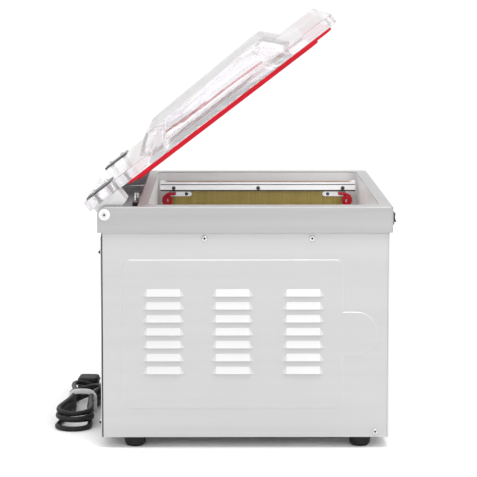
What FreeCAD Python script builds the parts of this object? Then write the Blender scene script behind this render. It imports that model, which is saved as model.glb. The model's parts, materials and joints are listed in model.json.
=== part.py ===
"""Tabletop chamber vacuum sealer with a domed clear lid.

Frame: millimetres, +Z up, floor at Z = 0, the front panel faces -Y and the heat seal bar is on the
+X side. The lid is modelled shut and then turned open about the hinge shaft. The machine is drawn
from a datum a little above the floor and then lifted by that height; the cord is drawn in place.
"""
import FreeCAD, Part
import Sketcher
import math
import os
from FreeCAD import Placement, Rotation, Vector

doc = FreeCAD.newDocument("vacuum_sealer")
sheet = doc.addObject("Spreadsheet::Sheet", "sizes")
nodes = {}

# ------------------------------------------------------------------ driving dimensions
DIMENSIONS = {
    "overall_width": 425,      # deck band, side to side
    "deck_front": -176.7,      # front face of the deck band
    "deck_rear": 162.7,        # rear face of the deck band
    "rim_height": 278,         # sealing rim above the datum
    "band_height": 30.2,       # height of the deck band
    "datum_height": 4,         # floor to the datum that the machine is drawn from
    "foot_height": 9.2,        # datum to the underside of the base plate
    "tray_height": 12,         # height of the folded base tray
    "sheet_metal": 1.2,        # steel sheet thickness
    "casing_half": 209,        # middle plane to the outside of a side panel
    "casing_front": -173.2,    # outside of the front panel
    "casing_rear": 158.1,      # rear edge of the side panels
    "panel_top": 256,          # top edge of the casing panels, up inside the band
    "rim_side": 20,            # width of the rim beside the chamber
    "chamber_front": -161.8,
    "chamber_rear": 105.4,
    "chamber_depth": 50,
    "chamber_corner": 14,
    "trough_front": 116.7,     # hinge trough behind the chamber
    "trough_half": 208,
    "pivot_height": 268.8,     # hinge shaft above the datum
    "pivot_back": 154.2,       # hinge shaft behind the middle
    "shaft_radius": 4,
    "open_angle": 37.5,
    "lid_length": 355.2,
    "lid_behind": 11.3,        # lid edge behind the hinge shaft
    "lid_above": 12.9,         # underside of the lid above the hinge shaft, shut
    "slab_thickness": 12,
    "plate_thickness": 1.2,    # hinge plates
    "dome_height": 20,
    "dome_wall": 7,
    "gasket_thickness": 3.4,
    "gasket_lip": 3.2,
    "bar_length": 260,
    "bar_width": 14,
    "bar_top": 267.8,          # top of the seal bar, lowered
    "bar_inside": 158,         # face of the seal bar towards the middle
    "bar_travel": 6,           # how far the lift cylinders raise the seal bar
    "cord_radius": 3,
    "running_gap": 0.05,       # radial clearance of turning fits
    "air_gap": 0.3,            # clearance between parts that only pass each other
}


def fill_sheet():
    for row, (alias, value) in enumerate(DIMENSIONS.items(), start=1):
        sheet.set("A%d" % row, alias)
        sheet.set("B%d" % row, str(value))
        sheet.setAlias("B%d" % row, alias)
    doc.recompute()


def size(alias):
    """Read one driving dimension back from the sheet."""
    return float(getattr(sheet, alias))


fill_sheet()

WIDTH = size("overall_width")
HALF = WIDTH / 2
RIM = size("rim_height")
SHEET = size("sheet_metal")
CASING = size("casing_half")
PIVOT = Vector(0, size("pivot_back"), size("pivot_height"))
LID_UNDER = PIVOT.z + size("lid_above")
LID_REAR = PIVOT.y + size("lid_behind")
LID_FRONT = LID_REAR - size("lid_length")
BAND_BOTTOM = RIM - size("band_height")
FLOOR_PLATE = size("foot_height") + SHEET
AIR = size("air_gap")
RUN = size("running_gap")
OPEN = Placement(Vector(), Rotation(Vector(1, 0, 0), -size("open_angle")), PIVOT)
LIFT = Placement(Vector(0, 0, size("datum_height")), Rotation())


# ------------------------------------------------------------------ helpers
def place(obj, x="0", y="0", z="0"):
    """Bind an object's position; each argument is an expression over the sheet."""
    obj.setExpression("Placement.Base.x", x)
    obj.setExpression("Placement.Base.y", y)
    obj.setExpression("Placement.Base.z", z)


def box(name, x, y, z, length, width, height):
    obj = doc.addObject("Part::Box", name)
    obj.setExpression("Length", length)
    obj.setExpression("Width", width)
    obj.setExpression("Height", height)
    place(obj, x, y, z)
    return obj


def rod(name, radius, height, x, y, z, axis="z"):
    """A cylinder along one axis, starting at x, y, z."""
    obj = doc.addObject("Part::Cylinder", name)
    obj.setExpression("Radius", radius)
    obj.setExpression("Height", height)
    turns = {
        "x": Rotation(Vector(0, 1, 0), 90),
        "y": Rotation(Vector(1, 0, 0), -90),
        "z": Rotation(),
    }
    obj.Placement = Placement(Vector(), turns[axis])
    place(obj, x, y, z)
    return obj


def fuse(name, *parts):
    obj = doc.addObject("Part::MultiFuse", name)
    obj.Shapes = list(parts)
    return obj


def along(axis):
    """Accept straight edges that run along one axis."""
    def test(edge):
        if not isinstance(edge.Curve, Part.Line):
            return False
        return abs(abs(edge.Curve.Direction.dot(axis)) - 1) < 1e-6
    return test


def feature(name, shape, placement=None):
    obj = doc.addObject("Part::Feature", name)
    obj.Shape = shape
    if placement is not None:
        obj.Placement = placement
    return obj


def node(name, obj, opened=False, lifted=True):
    """Register a finished sub-part; opened ones are turned about the hinge shaft."""
    obj.Label = name
    if opened:
        obj.Placement = OPEN.multiply(obj.Placement)
    if lifted:
        obj.Placement = LIFT.multiply(obj.Placement)
    nodes[name] = obj
    return obj


def plane_of(body, role):
    return [f for f in body.Origin.OriginFeatures if f.Role == role][0]


def new_body(name):
    return doc.addObject("PartDesign::Body", name + "_body")


def rectangle(body, name, left, bottom, length, height, plane="XY_Plane", offset="0"):
    """A constrained rectangle; left, bottom, length and height are expressions."""
    sketch = body.newObject("Sketcher::SketchObject", name)
    sketch.AttachmentSupport = [(plane_of(body, plane), "")]
    sketch.MapMode = "FlatFace"
    corners = [Vector(0, 0, 0), Vector(10, 0, 0), Vector(10, 10, 0), Vector(0, 10, 0)]
    for start, end in zip(corners, corners[1:] + corners[:1]):
        sketch.addGeometry(Part.LineSegment(start, end), False)
    for i in range(4):
        sketch.addConstraint(Sketcher.Constraint("Coincident", i, 2, (i + 1) % 4, 1))
    for i in (0, 2):
        sketch.addConstraint(Sketcher.Constraint("Horizontal", i))
    for i in (1, 3):
        sketch.addConstraint(Sketcher.Constraint("Vertical", i))
    for kind, value, expression in (
        ("DistanceX", (0, 1, 0, 2), length),
        ("DistanceY", (1, 1, 1, 2), height),
        ("DistanceX", (-1, 1, 0, 1), left),
        ("DistanceY", (-1, 1, 0, 1), bottom),
    ):
        index = sketch.addConstraint(Sketcher.Constraint(kind, *value, 10))
        sketch.setExpression("Constraints[%d]" % index, expression)
    sketch.setExpression("AttachmentOffset.Base.z", offset)
    return sketch


def circle(body, name, x, y, radius, plane="XY_Plane", offset="0"):
    """A constrained circle; x, y and radius are expressions."""
    sketch = body.newObject("Sketcher::SketchObject", name)
    sketch.AttachmentSupport = [(plane_of(body, plane), "")]
    sketch.MapMode = "FlatFace"
    sketch.addGeometry(Part.Circle(Vector(5, 5, 0), Vector(0, 0, 1), 3), False)
    for kind, value, expression in (
        ("Radius", (0,), radius),
        ("DistanceX", (-1, 1, 0, 3), x),
        ("DistanceY", (-1, 1, 0, 3), y),
    ):
        index = sketch.addConstraint(Sketcher.Constraint(kind, *value, 4))
        sketch.setExpression("Constraints[%d]" % index, expression)
    sketch.setExpression("AttachmentOffset.Base.z", offset)
    return sketch


def pad(body, sketch, name, length, backwards=False):
    obj = body.newObject("PartDesign::Pad", name)
    obj.Profile = sketch
    obj.Reversed = backwards
    obj.setExpression("Length", length)
    doc.recompute()
    return obj


def pocket(body, sketch, name, length, backwards=False, both_ways=False):
    before = body.Shape.Volume
    obj = body.newObject("PartDesign::Pocket", name)
    obj.Profile = sketch
    obj.Reversed = backwards
    obj.Midplane = both_ways
    obj.setExpression("Length", length)
    doc.recompute()
    if body.Shape.Volume >= before - 1e-6:
        raise RuntimeError("pocket %s cuts nothing" % name)
    return obj


# ------------------------------------------------------------------ base and feet
FOOT_X = 190.0
FOOT_REAR = 121.0
FOOT_FRONT = -141.0
FOOT_SPOTS = [(x, y) for x in (-FOOT_X, FOOT_X) for y in (FOOT_REAR, FOOT_FRONT)]
SCREW_HOLE = 2.1
SIDE_SCREWS = [(39.8, 241.0), (-83.7, 241.0), (-157.2, 15.8)]
REAR_SCREWS = [(x, z) for x in (-200.0, 200.0) for z in (25.5, 224.3)]


def make_base_plate():
    """A shallow folded tray that carries the pump, the transformer and the feet."""
    body = new_body("base_plate")
    length = "2 * (sizes.casing_half - sizes.sheet_metal - 0.2)"
    depth = "sizes.casing_rear - sizes.casing_front - 3.2"
    outline = rectangle(body, "base_outline", "-(%s) / 2" % length, "sizes.casing_front + 2.6",
                        length, depth, offset="sizes.foot_height")
    pad(body, outline, "base_pad", "sizes.tray_height")
    hollow = rectangle(body, "base_hollow", "-(%s) / 2 + sizes.sheet_metal" % length,
                       "sizes.casing_front + 2.6 + sizes.sheet_metal",
                       length + " - 2 * sizes.sheet_metal", depth + " - 2 * sizes.sheet_metal",
                       offset="sizes.foot_height + sizes.tray_height")
    pocket(body, hollow, "base_pocket", "sizes.tray_height - sizes.sheet_metal")
    for i, (x, y) in enumerate(FOOT_SPOTS):
        hole = circle(body, "foot_hole_%d" % i, str(x), str(y), str(SCREW_HOLE),
                      offset="sizes.foot_height + sizes.sheet_metal")
        pocket(body, hole, "foot_bore_%d" % i, "sizes.sheet_metal")
    for i, (y, z) in enumerate(SIDE_SCREWS[2:]):
        hole = circle(body, "side_hole_%d" % i, str(y), str(z), str(SCREW_HOLE),
                      plane="YZ_Plane")
        pocket(body, hole, "side_bore_%d" % i, "2 * sizes.casing_half", both_ways=True)
    node("base_plate", body)


def make_feet():
    """Four tapered rubber feet, each with a recess for its screw."""
    feet = []
    screws = []
    top = size("foot_height")
    sole = -size("datum_height")
    for x, y in FOOT_SPOTS:
        profile = [(2.3, top), (13.0, top), (11.8, sole + 3), (9.4, sole), (5.0, sole),
                   (5.0, sole + 6), (2.3, sole + 6)]
        face = Part.Face(Part.makePolygon([Vector(r, 0, z) for r, z in profile + profile[:1]]))
        foot = face.revolve(Vector(), Vector(0, 0, 1), 360)
        foot.translate(Vector(x, y, 0))
        feet.append(foot)
        shank = Part.makeCylinder(2.0, top + 2, Vector(x, y, sole + 5.6))
        head = Part.makeCylinder(3.8, 2.4, Vector(x, y, sole + 3.5))
        screws.append(shank.fuse(head).removeSplitter())
    node("rubber_feet", feature("rubber_feet_group", Part.Compound(feet)))
    node("foot_screws", feature("foot_screws_group", Part.Compound(screws)))


# ------------------------------------------------------------------ casing panels
LOUVER_LENGTH = 48.0
LOUVER_HEIGHT = 8.4
LOUVER_DEPTH = 2.6
LOUVER_WALL = 0.9
LOUVER_COLUMNS = (87.2, 7.6, -73.8)
LOUVER_ROWS = 7
LOUVER_PITCH = 15.05
LOUVER_LOWEST = 83.7
EMBOSS_RAISE = 0.8
EMBOSS_REAR = 134.2
EMBOSS_FRONT = -119.7
EMBOSS_TOP = 216.5
EMBOSS_BOTTOM = 43.2
EMBOSS_CORNER = 9.0
BULGE_MIDDLE = 130.0
BULGE_RADIUS = 25.8
BULGE_REACH = -160.1


def hood(depth, bottom_half, ridge_half, top_half, bottom, top):
    """A hood along Y: flat underneath, standing out from x = 0 towards -X, closed at both ends."""
    foot = [Vector(0, -bottom_half, bottom), Vector(0, bottom_half, bottom)]
    ridge = [Vector(-depth, -ridge_half, bottom), Vector(-depth, ridge_half, bottom)]
    crown = [Vector(0, -top_half, top), Vector(0, top_half, top)]
    outlines = [
        [foot[0], foot[1], ridge[1], ridge[0]],
        [ridge[0], ridge[1], crown[1], crown[0]],
        [foot[0], foot[1], crown[1], crown[0]],
        [foot[0], ridge[0], crown[0]],
        [foot[1], ridge[1], crown[1]],
    ]
    faces = [Part.Face(Part.makePolygon(points + points[:1])) for points in outlines]
    solid = Part.Solid(Part.Shell(faces))
    if solid.Volume < 0:
        solid.reverse()
    return solid


def louver_cutters(plane_x):
    """Return the outer body of one pressed louver and the body of its opening at y = z = 0."""
    half = LOUVER_LENGTH / 2
    outer = hood(LOUVER_DEPTH, half, half - 4.5, half - 5, 0, LOUVER_HEIGHT)
    outer = outer.makeFillet(0.6, [e for e in outer.Edges if e.BoundBox.XMin < -LOUVER_DEPTH + 0.01
                                   and e.BoundBox.ZMax > 1])
    depth = LOUVER_DEPTH - LOUVER_WALL
    inner = hood(depth, half - 2.2, half - 6.0, half - 6.4, -0.5, LOUVER_HEIGHT - 1.5)
    slot = Part.makeBox(5, 2 * half - 14, LOUVER_HEIGHT - 2.0, Vector(-0.05, 7 - half, 0))
    opening = inner.fuse(slot)
    for shape in (outer, opening):
        shape.translate(Vector(plane_x, 0, 0))
    return outer, opening


def emboss_outline(x):
    """The raised field of a side panel: a rounded rectangle with a D-shaped bulge in front."""
    block = Part.makeBox(EMBOSS_RAISE, EMBOSS_REAR - EMBOSS_FRONT, EMBOSS_TOP - EMBOSS_BOTTOM,
                         Vector(x, EMBOSS_FRONT, EMBOSS_BOTTOM))
    block = block.makeFillet(EMBOSS_CORNER, [e for e in block.Edges if along(Vector(1, 0, 0))(e)])
    centre = BULGE_REACH + BULGE_RADIUS
    disc = Part.makeCylinder(BULGE_RADIUS, EMBOSS_RAISE, Vector(x, centre, BULGE_MIDDLE),
                             Vector(1, 0, 0))
    neck = Part.makeBox(EMBOSS_RAISE, EMBOSS_FRONT + 5 - centre, 2 * BULGE_RADIUS,
                        Vector(x, centre, BULGE_MIDDLE - BULGE_RADIUS))
    field = block.fuse([disc, neck]).removeSplitter()
    return field.makeChamfer(0.7, [e for e in field.Edges if e.BoundBox.XMax < x + 1e-4])


def side_panel_shape():
    """The panel at -X: a folded sheet with a raised field and 21 pressed louvers."""
    bottom = size("foot_height")
    front = size("casing_front") + 2.4
    rear = size("casing_rear")
    top = size("panel_top")
    outside = Part.makeBox(SHEET, rear - front, top - bottom, Vector(-CASING, front, bottom))
    folds = [
        Part.makeBox(12, SHEET, top - bottom - 20, Vector(-CASING + SHEET - 0.2, y, bottom + 18))
        for y in (front, rear - SHEET)
    ]
    field = emboss_outline(-CASING - EMBOSS_RAISE)
    panel = outside.fuse(folds + [field]).removeSplitter()
    outer, inner = louver_cutters(-CASING - EMBOSS_RAISE)
    hoods = []
    openings = []
    for y in LOUVER_COLUMNS:
        for row in range(LOUVER_ROWS):
            spot = Vector(0, y, LOUVER_LOWEST + row * LOUVER_PITCH)
            for source, target in ((outer, hoods), (inner, openings)):
                copy = source.copy()
                copy.translate(spot)
                target.append(copy)
    holes = [Part.makeCylinder(SCREW_HOLE, 4, Vector(-CASING - 1, y, z), Vector(1, 0, 0))
             for y, z in SIDE_SCREWS]
    holes += [Part.makeCylinder(SCREW_HOLE, 8, Vector(x, rear - 4, z), Vector(0, 1, 0))
              for x, z in REAR_SCREWS]
    step = Part.makeBox(20, rear - size("trough_front") + 6, 20,
                        Vector(-CASING - 1, size("trough_front") - 4, BAND_BOTTOM - 0.4))
    return panel.fuse(hoods).cut(openings + holes + [step])


def mirrored(shape):
    return shape.mirror(Vector(), Vector(1, 0, 0))


def pan_screw(head_radius, head_height, shank_radius, shank_length):
    """A pan head screw along +X whose head bears on the plane x = 0."""
    head = Part.makeCylinder(head_radius, head_height, Vector(-head_height, 0, 0), Vector(1, 0, 0))
    rim = [e for e in head.Edges if abs(e.BoundBox.XMin + head_height) < 1e-6
           and abs(e.BoundBox.XMax + head_height) < 1e-6]
    head = head.makeFillet(head_height * 0.6, rim)
    slots = []
    for turn in (0, 90):
        slot = Part.makeBox(head_height * 0.5, head_radius * 1.1, head_radius * 0.22,
                            Vector(-head_height, -head_radius * 0.55, -head_radius * 0.11))
        slot.rotate(Vector(), Vector(1, 0, 0), turn)
        slots.append(slot)
    shank = Part.makeCylinder(shank_radius, shank_length, Vector(0, 0, 0), Vector(1, 0, 0))
    return head.fuse(shank).removeSplitter().cut(slots)


def make_side_panels():
    panel = side_panel_shape()
    node("side_panel_left", feature("side_panel_left_shell", panel))
    node("side_panel_right", feature("side_panel_right_shell", mirrored(panel)))


def make_panel_screws():
    """The identical pan head screws that hold the side panels and the rear panel."""
    screws = []
    for y, z in SIDE_SCREWS:
        copy = pan_screw(3.2, 1.9, 1.9, 6)
        copy.translate(Vector(-CASING, y, z))
        screws += [copy, mirrored(copy)]
    for x, z in REAR_SCREWS:
        copy = pan_screw(3.2, 1.9, 1.9, 6)
        copy.rotate(Vector(), Vector(0, 0, 1), -90)
        copy.translate(Vector(x, REAR_SHEET_Y + SHEET, z))
        screws.append(copy)
    node("panel_screws", feature("panel_screws_group", Part.Compound(screws)))


# ------------------------------------------------------------------ front and rear panels
CONTROL_X = -62.0
CONTROL_Z = 176.0
CONTROL_LENGTH = 200.0
CONTROL_HEIGHT = 78.0
CONTROL_CORNER = 6.0
GAUGE_X = 118.0
GAUGE_RADIUS = 31.0
FRONT_PANEL = 2.2
KEY_X = (-142.0, -102.0, -22.0, 18.0)
KEY_Z = 158.0
KEY_RADIUS = 7.0
WINDOW_LENGTH = 58.0
WINDOW_HEIGHT = 26.0
WINDOW_Z = 193.0


def make_front_panel():
    body = new_body("front_panel")
    outline = rectangle(body, "front_outline", "-sizes.casing_half", "sizes.foot_height",
                        "2 * sizes.casing_half", "sizes.panel_top - sizes.foot_height",
                        plane="XZ_Plane", offset="-sizes.casing_front")
    pad(body, outline, "front_pad", str(FRONT_PANEL), backwards=True)
    recess = rectangle(body, "control_recess", str(CONTROL_X - CONTROL_LENGTH / 2),
                       str(CONTROL_Z - CONTROL_HEIGHT / 2), str(CONTROL_LENGTH),
                       str(CONTROL_HEIGHT), plane="XZ_Plane", offset="-sizes.casing_front")
    pocket(body, recess, "control_pocket", "0.8")
    window = rectangle(body, "display_hole", str(CONTROL_X - WINDOW_LENGTH / 2),
                       str(WINDOW_Z - WINDOW_HEIGHT / 2), str(WINDOW_LENGTH),
                       str(WINDOW_HEIGHT), plane="XZ_Plane", offset="-sizes.casing_front - 0.8")
    pocket(body, window, "display_pocket", "4")
    for i, x in enumerate(KEY_X):
        hole = circle(body, "key_hole_%d" % i, str(x), str(KEY_Z), str(KEY_RADIUS + AIR),
                      plane="XZ_Plane", offset="-sizes.casing_front - 0.8")
        pocket(body, hole, "key_bore_%d" % i, "4")
    gauge = circle(body, "gauge_hole", str(GAUGE_X), str(CONTROL_Z), str(GAUGE_RADIUS),
                   plane="XZ_Plane", offset="-sizes.casing_front")
    pocket(body, gauge, "gauge_bore", "4")
    doc.recompute()
    edges = []
    for i, edge in enumerate(body.Shape.Edges, start=1):
        b = edge.BoundBox
        if b.ZLength > 200 and abs(b.YMin - size("casing_front")) < 1e-4 and abs(b.XMin) > 200:
            edges.append("Edge%d" % i)
    last = body.Tip
    fillet = body.newObject("PartDesign::Fillet", "front_corners")
    fillet.Base = (last, edges)
    fillet.Radius = 1.6
    node("front_panel", body)


def make_control_panel():
    """Membrane sheet flush in its recess, display window, four keys and the display module."""
    front = size("casing_front")
    skin = Part.makeBox(CONTROL_LENGTH - 0.4, 0.7, CONTROL_HEIGHT - 0.4,
                        Vector(CONTROL_X - CONTROL_LENGTH / 2 + 0.2, front + 0.1,
                               CONTROL_Z - CONTROL_HEIGHT / 2 + 0.2))
    holes = [Part.makeCylinder(KEY_RADIUS + AIR, 3, Vector(x, front - 1, KEY_Z),
                               Vector(0, 1, 0)) for x in KEY_X]
    window = Part.makeBox(WINDOW_LENGTH, 3, WINDOW_HEIGHT,
                          Vector(CONTROL_X - WINDOW_LENGTH / 2, front - 1,
                                 WINDOW_Z - WINDOW_HEIGHT / 2))
    node("control_membrane", feature("control_membrane_sheet", skin.cut(holes + [window])))
    glass = Part.makeBox(WINDOW_LENGTH - 0.2, 1.6, WINDOW_HEIGHT - 0.2,
                         Vector(CONTROL_X - WINDOW_LENGTH / 2 + 0.1, front + 0.1,
                                WINDOW_Z - WINDOW_HEIGHT / 2 + 0.1))
    node("display_window", feature("display_window_pane", glass))
    for i, x in enumerate(KEY_X, start=1):
        cap = Part.makeCylinder(KEY_RADIUS, 5.0, Vector(x, front - 0.9, KEY_Z), Vector(0, 1, 0))
        edge = [e for e in cap.Edges if e.BoundBox.YMax < front - 0.8]
        cap = cap.makeFillet(0.6, edge)
        node("key_%d" % i, feature("key_cap_%d" % i, cap))
    board = box("board_plate", str(CONTROL_X - 98), "sizes.casing_front + 14",
                str(CONTROL_Z - 38), "196", "1.6", "76")
    module = box("display_block", str(CONTROL_X - WINDOW_LENGTH / 2 + 2),
                 "sizes.casing_front + 2", str(WINDOW_Z - WINDOW_HEIGHT / 2 + 2),
                 str(WINDOW_LENGTH - 4), "12", str(WINDOW_HEIGHT - 4))
    parts = [
        Part.makeBox(19, 15, 15, Vector(CONTROL_X + x, front + 15.7, CONTROL_Z + z))
        for x, z in ((-85, 10), (-60, 10), (55, 10))
    ]
    parts.append(Part.makeBox(36, 28, 30, Vector(CONTROL_X + 45, front + 15.7, CONTROL_Z - 32)))
    for x in (-70, -50):
        parts.append(Part.makeCylinder(6, 20, Vector(CONTROL_X + x, front + 15.7,
                                                     CONTROL_Z - 20), Vector(0, 1, 0)))
    soldered = feature("board_components", Part.Compound(parts))
    node("control_board", fuse("board_assembly", board, module, soldered))


def make_vacuum_gauge():
    front = size("casing_front")
    centre = Vector(GAUGE_X, front, CONTROL_Z)
    back = Vector(0, 1, 0)

    def disc(radius, start, depth):
        return Part.makeCylinder(radius, depth, centre + back * start, back)

    case = disc(GAUGE_RADIUS - 0.1, 0, 24).fuse(disc(GAUGE_RADIUS + 3, -1.2, 1.2))
    case = case.removeSplitter().cut([disc(GAUGE_RADIUS - 2, -2, 8)])
    lip = [e for e in case.Edges if e.BoundBox.YMax < front - 1.1
           and e.BoundBox.XLength > 2 * GAUGE_RADIUS + 5]
    case = case.makeFillet(0.9, lip)
    node("gauge_case", feature("gauge_case_cup", case))
    dial = disc(GAUGE_RADIUS - 2.1, 5, 1.0).cut(disc(1.5 + RUN, 4, 3))
    node("gauge_dial", feature("gauge_dial_disc", dial))
    node("gauge_glass", feature("gauge_glass_disc", disc(GAUGE_RADIUS - 2.1, -0.4, 1.8)))
    hub = disc(2.6, 2.4, 1.6).fuse(disc(1.5, 3.9, 2.0))
    blade = Part.Face(Part.makePolygon([
        Vector(GAUGE_X - 1.3, front + 2.6, CONTROL_Z - 8), Vector(GAUGE_X + 1.3, front + 2.6,
                                                                 CONTROL_Z - 8),
        Vector(GAUGE_X + 0.4, front + 2.6, CONTROL_Z + 22), Vector(GAUGE_X - 0.4, front + 2.6,
                                                                  CONTROL_Z + 22),
        Vector(GAUGE_X - 1.3, front + 2.6, CONTROL_Z - 8)])).extrude(Vector(0, 0.8, 0))
    needle = hub.fuse(blade).removeSplitter()
    needle.rotate(centre, back, -135)
    node("gauge_needle", feature("gauge_needle_hand", needle))


REAR_SHEET_Y = 158.3
GLAND_X = 120.0
GLAND_Z = 52.0
FUSE_X = 50.0


def make_rear_panel():
    """Rear sheet with two fields of slots, the cord hole and the fuse hole."""
    bottom = size("foot_height")
    plate = Part.makeBox(2 * (CASING - 1), SHEET, size("panel_top") - bottom - 14,
                         Vector(-CASING + 1, REAR_SHEET_Y, bottom))
    cuts = [Part.makeCylinder(7.05, 4, Vector(GLAND_X, REAR_SHEET_Y - 1, GLAND_Z),
                              Vector(0, 1, 0)),
            Part.makeCylinder(6.05, 4, Vector(FUSE_X, REAR_SHEET_Y - 1, GLAND_Z),
                              Vector(0, 1, 0))]
    for x, z in REAR_SCREWS:
        cuts.append(Part.makeCylinder(SCREW_HOLE, 4, Vector(x, REAR_SHEET_Y - 1, z),
                                      Vector(0, 1, 0)))
    slot_length, slot_height, slot_pitch = 62.0, 4.0, 11.0
    for x in (-120.0, -40.0):
        for row in range(8):
            z = 110 + row * slot_pitch
            bar = Part.makeBox(slot_length, 4, slot_height,
                               Vector(x - slot_length / 2, REAR_SHEET_Y - 1, z))
            ends = [e for e in bar.Edges if along(Vector(0, 1, 0))(e)]
            cuts.append(bar.makeFillet(slot_height / 2 - 0.01, ends))
    node("rear_panel", feature("rear_panel_sheet", plate.cut(cuts)))
    holder = Part.makeCylinder(6, 26, Vector(FUSE_X, REAR_SHEET_Y - 20, GLAND_Z), Vector(0, 1, 0))
    flange = Part.makeCylinder(8.5, 2.2, Vector(FUSE_X, REAR_SHEET_Y + SHEET, GLAND_Z),
                               Vector(0, 1, 0))
    node("fuse_holder", feature("fuse_holder_body", holder.fuse(flange).removeSplitter()))


# ------------------------------------------------------------------ deck, chamber and hinge shaft
def block(x0, x1, y0, y1, z0, z1):
    return Part.makeBox(x1 - x0, y1 - y0, z1 - z0, Vector(x0, y0, z0))


def upright_rounded(solid, radius):
    return solid.makeFillet(radius, [e for e in solid.Edges if along(Vector(0, 0, 1))(e)])


def make_deck():
    """Top frame: a skirt, the sealing rim round the chamber and the hinge trough behind it."""
    front = size("deck_front")
    rear = size("deck_rear")
    skin = block(-HALF, HALF, front, rear, BAND_BOTTOM, RIM)
    back_edge = [e for e in skin.Edges if e.BoundBox.ZMin > RIM - 0.01
                 and e.BoundBox.YMin > rear - 0.01]
    skin = skin.makeFillet(11, back_edge)
    front_corners = [e for e in skin.Edges if along(Vector(0, 0, 1))(e)
                     and e.BoundBox.YMax < front + 0.01]
    skin = skin.makeFillet(4, front_corners)
    top_edge = [e for e in skin.Edges if e.BoundBox.ZMin > RIM - 0.01
                and e.BoundBox.YMin < rear - 12]
    skin = skin.makeFillet(1.8, top_edge)
    hollow = upright_rounded(block(-HALF + SHEET, HALF - SHEET, front + SHEET,
                                   size("trough_front") - SHEET, BAND_BOTTOM - 1,
                                   RIM - SHEET), 3.8)
    half = size("trough_half")
    trough = block(-half, half, size("trough_front"), rear - SHEET, BAND_BOTTOM + SHEET, RIM + 5)
    notch = block(-half, half, rear - 14, rear + 5, 257, RIM + 5)
    inner = HALF - size("rim_side")
    mouth = upright_rounded(block(-inner, inner, size("chamber_front"), size("chamber_rear"),
                                  RIM - 5, RIM + 5), size("chamber_corner"))
    shaft_hole = Part.makeCylinder(size("shaft_radius") + 0.02, WIDTH + 10,
                                   Vector(-HALF - 5, PIVOT.y, PIVOT.z), Vector(1, 0, 0))
    shape = skin.cut([hollow, trough, notch, mouth, shaft_hole])
    shape = shape.cut(rocker_cutout())
    node("deck", feature("deck_shell", shape))


def make_chamber_tub():
    """The drawn steel chamber under the rim, with a flange welded below the deck."""
    inner = HALF - size("rim_side")
    y0, y1 = size("chamber_front"), size("chamber_rear")
    corner = size("chamber_corner")
    top = RIM - SHEET - 0.02
    depth = size("chamber_depth")
    flange = upright_rounded(block(-inner - 7, inner + 7, y0 - 7, y1 + 7, top - SHEET, top),
                             corner)
    outer = upright_rounded(block(-inner - SHEET, inner + SHEET, y0 - SHEET, y1 + SHEET,
                                  RIM - depth - SHEET, top - 0.5), corner + SHEET)
    bowl = upright_rounded(block(-inner, inner, y0, y1, RIM - depth, RIM + 2), corner)
    outer = outer.makeFillet(6 + SHEET, [e for e in outer.Edges
                                         if e.BoundBox.ZMax < RIM - depth - SHEET + 0.01])
    bowl = bowl.makeFillet(6, [e for e in bowl.Edges if e.BoundBox.ZMax < RIM - depth + 0.01])
    shape = flange.fuse(outer).removeSplitter().cut(bowl)
    holes = [Part.makeCylinder(4.6, 10, Vector(x, y, RIM - depth - 5)) for x, y in LIFTER_SPOTS]
    port = Part.makeCylinder(PORT_RADIUS, 22, Vector(PORT_X, PORT_Y, RIM - depth - 20))
    collar = Part.makeCylinder(12, 3, Vector(PORT_X, PORT_Y, RIM - depth - 0.5))
    holes.append(Part.makeCylinder(4.5, 30, Vector(PORT_X, PORT_Y, RIM - depth - 22)))
    shape = shape.fuse([port, collar]).removeSplitter()
    node("chamber_tub", feature("chamber_tub_bowl", shape.cut(holes)))


PORT_X = -150.0
PORT_Y = 86.0
PORT_RADIUS = 7.0
BAR_MIDDLE_X = size("bar_inside") + size("bar_width") / 2
BAR_MIDDLE_Y = (size("chamber_front") + size("chamber_rear")) / 2
LIFTER_REACH = 70.0
LIFTER_SPOTS = [(BAR_MIDDLE_X + 2, BAR_MIDDLE_Y + side * LIFTER_REACH) for side in (-1, 1)]
CHAMBER_FLOOR = RIM - size("chamber_depth")


def make_chamber_fittings():
    """Filler plate, and the lift cylinders under the seal bar."""
    plate = upright_rounded(block(-120, 140, -150, 96, CHAMBER_FLOOR + 0.02,
                                  CHAMBER_FLOOR + 10), 10)
    plate = plate.makeChamfer(1.0, [e for e in plate.Edges
                                    if e.BoundBox.ZMin > CHAMBER_FLOOR + 9.9])
    node("filler_plate", feature("filler_plate_slab", plate))
    barrels = []
    for x, y in LIFTER_SPOTS:
        body = Part.makeCylinder(9, 26, Vector(x, y, CHAMBER_FLOOR - SHEET - 26.02))
        neck = Part.makeCylinder(4.5, 3, Vector(x, y, CHAMBER_FLOOR - SHEET - 0.5))
        bore = Part.makeCylinder(3.0 + RUN, 40, Vector(x, y, CHAMBER_FLOOR - 25))
        nipple = Part.makeCylinder(2.5, 12, Vector(x, y, CHAMBER_FLOOR - 38))
        barrels.append(body.fuse([neck, nipple]).removeSplitter().cut(bore))
    node("lift_cylinders", feature("lift_cylinders_pair", Part.Compound(barrels)))


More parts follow.
